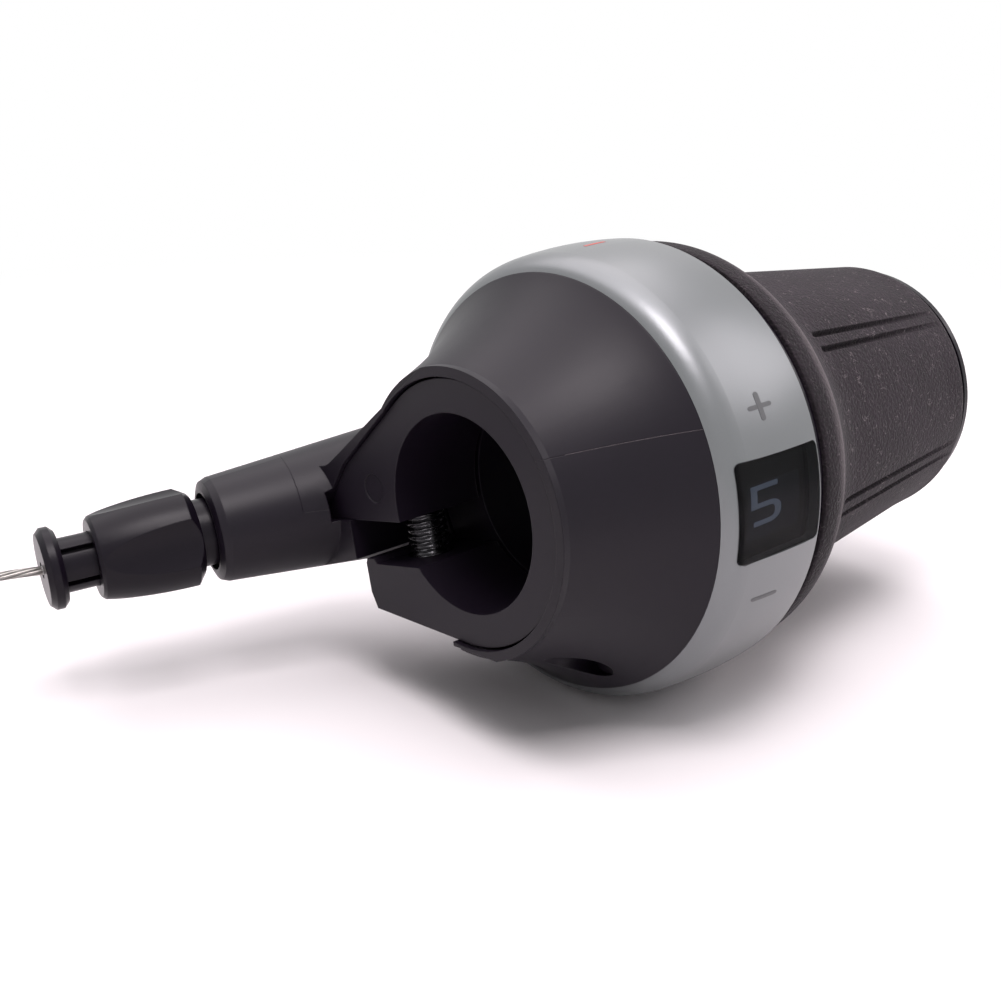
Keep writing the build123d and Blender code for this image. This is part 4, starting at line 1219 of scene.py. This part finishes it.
@dataclass
class ShiftCable(Assembly):
    """Free end of the shift cable, out of the plug and down into a tied coil, placed in millimetres."""

    diameter: float = 1.1 * MM
    route: tuple[Point, ...] = (
        (-30.509, 37.230, -9.235), (-35.7, 38.7, -8.9), (-42.5, 40.0, -9.4), (-49.5, 40.6, -12.2),
        (-56.0, 40.0, -16.6), (-62.0, 38.3, -21.2), (-68.5, 35.5, -24.6), (-75.5, 31.9, -25.13))
    coil_at: Flat = (-70.0, 21.1)
    coil_mean_r: float = 9.6
    rows: int = 5
    layers: int = 6
    pitch: float = 1.14
    low_z: float = -25.13
    start_angle: float = 117.0
    points_per_turn: int = 18
    shift_from: float = 0.8
    tail_shares: tuple[float, ...] = (0.2, 0.4, 0.6, 0.8)
    tail_climb: float = 1.15
    cap_angle: float = 200.0
    cap_lead: float = 26.0
    cap_z: float = -17.96
    cap_reach: tuple[float, ...] = (-4.5, -2.0, 1.0, 3.5)

    def coil(self) -> list[Point]:
        """Wind the coil row by row and layer by layer.

        Returns:
            Points of its turns.
        """
        points: list[Point] = []
        turns = self.rows * self.layers
        swell = 1 / math.cos(math.pi / self.points_per_turn) ** 0.5
        for step in range(1, turns * self.points_per_turn + 1):
            whole, part = divmod(step / self.points_per_turn, 1.0)
            turn = min(int(whole), turns - 1)
            shift = max(0.0, (part - self.shift_from) / (1 - self.shift_from))
            here = self.cell(turn)
            after = self.cell(min(turn + 1, turns - 1))
            radius = (here[0] + (after[0] - here[0]) * shift) * swell
            z = here[1] + (after[1] - here[1]) * shift
            points.append(self.round_coil(radius, self.start_angle + 360.0 * step / self.points_per_turn, z))
        return points

    def cell(self, turn: int) -> Flat:
        """Find one turn's place in the coil's section.

        Args:
            turn: number of the turn.

        Returns:
            Its radius and height.
        """
        layer, place = divmod(turn, self.rows)
        row = self.rows - 1 - place if layer % 2 == 0 else place
        return (self.coil_mean_r + (row - (self.rows - 1) / 2) * self.pitch, self.low_z + layer * self.pitch)

    def round_coil(self, radius: float, angle: float, z: float) -> Point:
        """Point about the coil's own axis."""
        turn = math.radians(angle)
        return (self.coil_at[0] + radius * math.cos(turn), self.coil_at[1] + radius * math.sin(turn), z)

    def tail(self) -> list[Point]:
        """Lead the last turn up to the cap on top of the coil.

        Returns:
            Points of the tail.
        """
        outer, top = self.cell(self.rows * self.layers - 1)
        points = []
        for share in self.tail_shares:
            angle = self.start_angle + (self.cap_angle - self.cap_lead - self.start_angle) * share
            radius = outer + (self.coil_mean_r - outer) * share
            height = top + (self.cap_z - top) * min(1.0, share * self.tail_climb)
            points.append(self.round_coil(radius, angle, height))
        middle = Vector(self.round_coil(self.coil_mean_r, self.cap_angle, self.cap_z))
        turn = math.radians(self.cap_angle)
        way = Vector((-math.sin(turn), math.cos(turn), 0.0))
        return points + [tuple(middle + way * reach) for reach in self.cap_reach]

    def build(self) -> None:
        points = list(self.route) + self.coil() + self.tail()
        curve = bpy.data.curves.new("shift_cable", "CURVE")
        curve.dimensions = "3D"
        curve.bevel_depth = self.diameter / 2
        curve.bevel_resolution = 2
        curve.resolution_u = 4
        curve.use_fill_caps = True
        spline = curve.splines.new("NURBS")
        spline.points.add(len(points) - 1)
        for spot, point in zip(spline.points, points):
            spot.co = (point[0] * MM, point[1] * MM, point[2] * MM, 1.0)
        spline.order_u = 3
        spline.use_endpoint_u = True
        cable = in_scene(bpy.data.objects.new("shift_cable", curve))
        curve.materials.append(self.finishes.wire)
        settle(cable, Body.BRACKET)
        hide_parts("cable_route", "cable_coil")


class PackedNodes(Assembly):
    """The part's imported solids, each in its finish."""

    def build(self) -> None:
        """Put the finishes into the nodes' material slots."""
        look = self.finishes
        groups = (
            (look.clamp, ("clamp_bracket",)),
            (look.bolt, ("clamp_bolt",)),
            (look.housing, ("upper_housing", "lower_housing")),
            (look.silver, ("display_ring",)),
            (look.lens, ("window_lens",)),
            (look.dial, ("number_drum",)),
            (look.core, ("twist_sleeve",)),
            (look.rubber, ("grip_rubber",)),
            (look.knob, ("adjuster_screw", "adjuster_knob", "cable_stop_plug")),
            (look.inner, ("cable_drum", "detent_ring", "thrust_washer", "cable_guide")),
            (look.steel, ("clamp_insert", "housing_screws", "cable_nipple", "detent_spring",
                          "retaining_clip", "inner_cable")),
            (look.wire, ("cable_route", "cable_coil")),
            (look.tie, ("cable_tie",)),
            (look.cap, ("cable_end_cap",)))
        for finish, name in ((finish, name) for finish, names in groups for name in names):
            node = self.nodes[name]
            if not node.material_slots:
                node.data.materials.append(finish)
            for slot in node.material_slots:
                slot.material = finish
            LOG.info("node %s in %s", name, finish.name)


@dataclass(frozen=True)
class Lamp:
    """Square soft light, in metres and watts."""

    name: str
    at: Point
    size: float
    watts: float
    aim: Point = (0.0, 0.0, 0.0)
    tint: Colour = (1.0, 0.93, 0.96)

    def hang(self) -> None:
        """Put the light in its place."""
        light = bpy.data.lights.new(self.name, "AREA")
        light.shape = "SQUARE"
        light.size = self.size
        light.energy = self.watts
        light.color = self.tint
        lamp = in_scene(bpy.data.objects.new(self.name, light))
        lamp.location = self.at
        lamp.rotation_euler = (Vector(self.aim) - Vector(self.at)).to_track_quat("-Z", "Y").to_euler()


@dataclass
class Studio:
    """Camera, floor, soft light and a white surround; the camera turns from +Y to +X and dips, in degrees."""

    camera_at: Point = (-91.997 * MM, -105.7086 * MM, 53.3325 * MM)
    camera_turn: float = 42.7911
    camera_dip: float = 20.2524
    lens_mm: float = 50.501
    sensor_mm: float = 36.0
    clip: Flat = (0.005, 50.0)
    floor_z: float = -26.2 * MM
    floor_half: float = 3.0
    floor_colour: Colour = (0.9, 0.88, 0.887)
    floor_roughness: float = 0.9
    floor_shine: float = 0.1
    shadow_reach: float = 0.15
    lamps: tuple[Lamp, ...] = (
        Lamp("key", (-0.08, -0.16, 0.52), 0.24, 1.9),
        Lamp("top", (0.08, 0.18, 0.6), 0.8, 4.1),
        Lamp("side", (0.42, -0.24, 0.34), 0.30, 0.75, (0.03, 0.0, 0.0)))
    low_fill: float = 0.1
    low_tint: Colour = (1.0, 0.8, 0.87)
    high_fill: float = 0.45
    high_tint: Colour = (1.0, 0.98, 1.0)
    fill_from: float = 0.05
    fill_rise: float = 0.6

    def camera(self) -> None:
        """Set the camera at the photograph's place."""
        lens = bpy.data.cameras.new("view")
        lens.sensor_fit = "HORIZONTAL"
        lens.sensor_width = self.sensor_mm
        lens.lens = self.lens_mm
        lens.clip_start, lens.clip_end = self.clip
        camera = in_scene(bpy.data.objects.new("view", lens))
        turn = Euler((math.radians(90.0 - self.camera_dip), 0.0, -math.radians(self.camera_turn)))
        camera.matrix_world = Matrix.LocRotScale(Vector(self.camera_at), turn, None)
        bpy.context.scene.camera = camera

    def floor(self) -> None:
        """Lay a pale floor that keeps the object's shadow and runs out into white."""
        half = self.floor_half
        corners = [(x * half, y * half, self.floor_z) for x, y in ((-1, -1), (1, -1), (1, 1), (-1, 1))]
        paint = Paint("floor_paper")
        paint.feed("Base Color", self.floor_colour)
        paint.feed("Roughness", self.floor_roughness)
        paint.feed("Specular IOR Level", self.floor_shine)
        x, y, _ = paint.parts(paint.coords)
        far = (((x * x + y * y) ** 0.5 - self.shadow_reach) / self.shadow_reach).held()
        glow = paint.node("ShaderNodeEmission", inputs={"Color": WHITE, "Strength": 1.0})
        mix = paint.node("ShaderNodeMixShader", inputs={
            0: paint.seen() * far.eased(), 1: paint.shader.outputs[0], 2: glow.outputs[0]})
        paint.plug(paint.out.inputs["Surface"], mix.outputs[0])
        mesh_piece("floor", corners, [(0, 1, 2, 3)], paint.material)

    def surround(self) -> None:
        """White for what the camera sees, and soft light that is stronger from above for the rest."""
        world = bpy.data.worlds.new("surround")
        bpy.context.scene.world = world
        world.use_nodes = True
        graph = Graph(world.node_tree)
        graph.tree.nodes.clear()
        height = graph.parts(graph.node("ShaderNodeTexCoord").outputs["Object"])[2]
        rise = ((height - self.fill_from) / self.fill_rise).held()
        lights = ((self.low_tint, self.low_fill), (self.high_tint, self.high_fill), (WHITE, 1.0))
        low, high, white = (
            graph.node("ShaderNodeBackground", inputs={"Color": tint, "Strength": strength}).outputs[0]
            for tint, strength in lights)
        soft = graph.node("ShaderNodeMixShader", inputs={0: rise.eased(), 1: low, 2: high})
        mix = graph.node("ShaderNodeMixShader", inputs={0: graph.seen(), 1: soft.outputs[0], 2: white})
        graph.node("ShaderNodeOutputWorld", inputs={"Surface": mix.outputs[0]})

    def build(self) -> None:
        """Set the whole studio up."""
        self.camera()
        self.floor()
        for lamp in self.lamps:
            lamp.hang()
        self.surround()
        bpy.context.scene.view_settings.view_transform = "Standard"


def main() -> None:
    """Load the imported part, dress it and set it in the studio."""
    logging.basicConfig(level=logging.INFO, format="%(name)s %(message)s")
    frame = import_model()
    nodes = frame["nodes"]
    Studio().build()
    finishes = Finishes()
    for assembly in (PackedNodes, ShiftCable, ClampBolt, NumberDial, GripSkin, DisplayRing, HousingSeam):
        LOG.info("building %s", assembly.__name__)
        assembly(finishes, nodes).build()


if __name__ == "__main__":
    main()
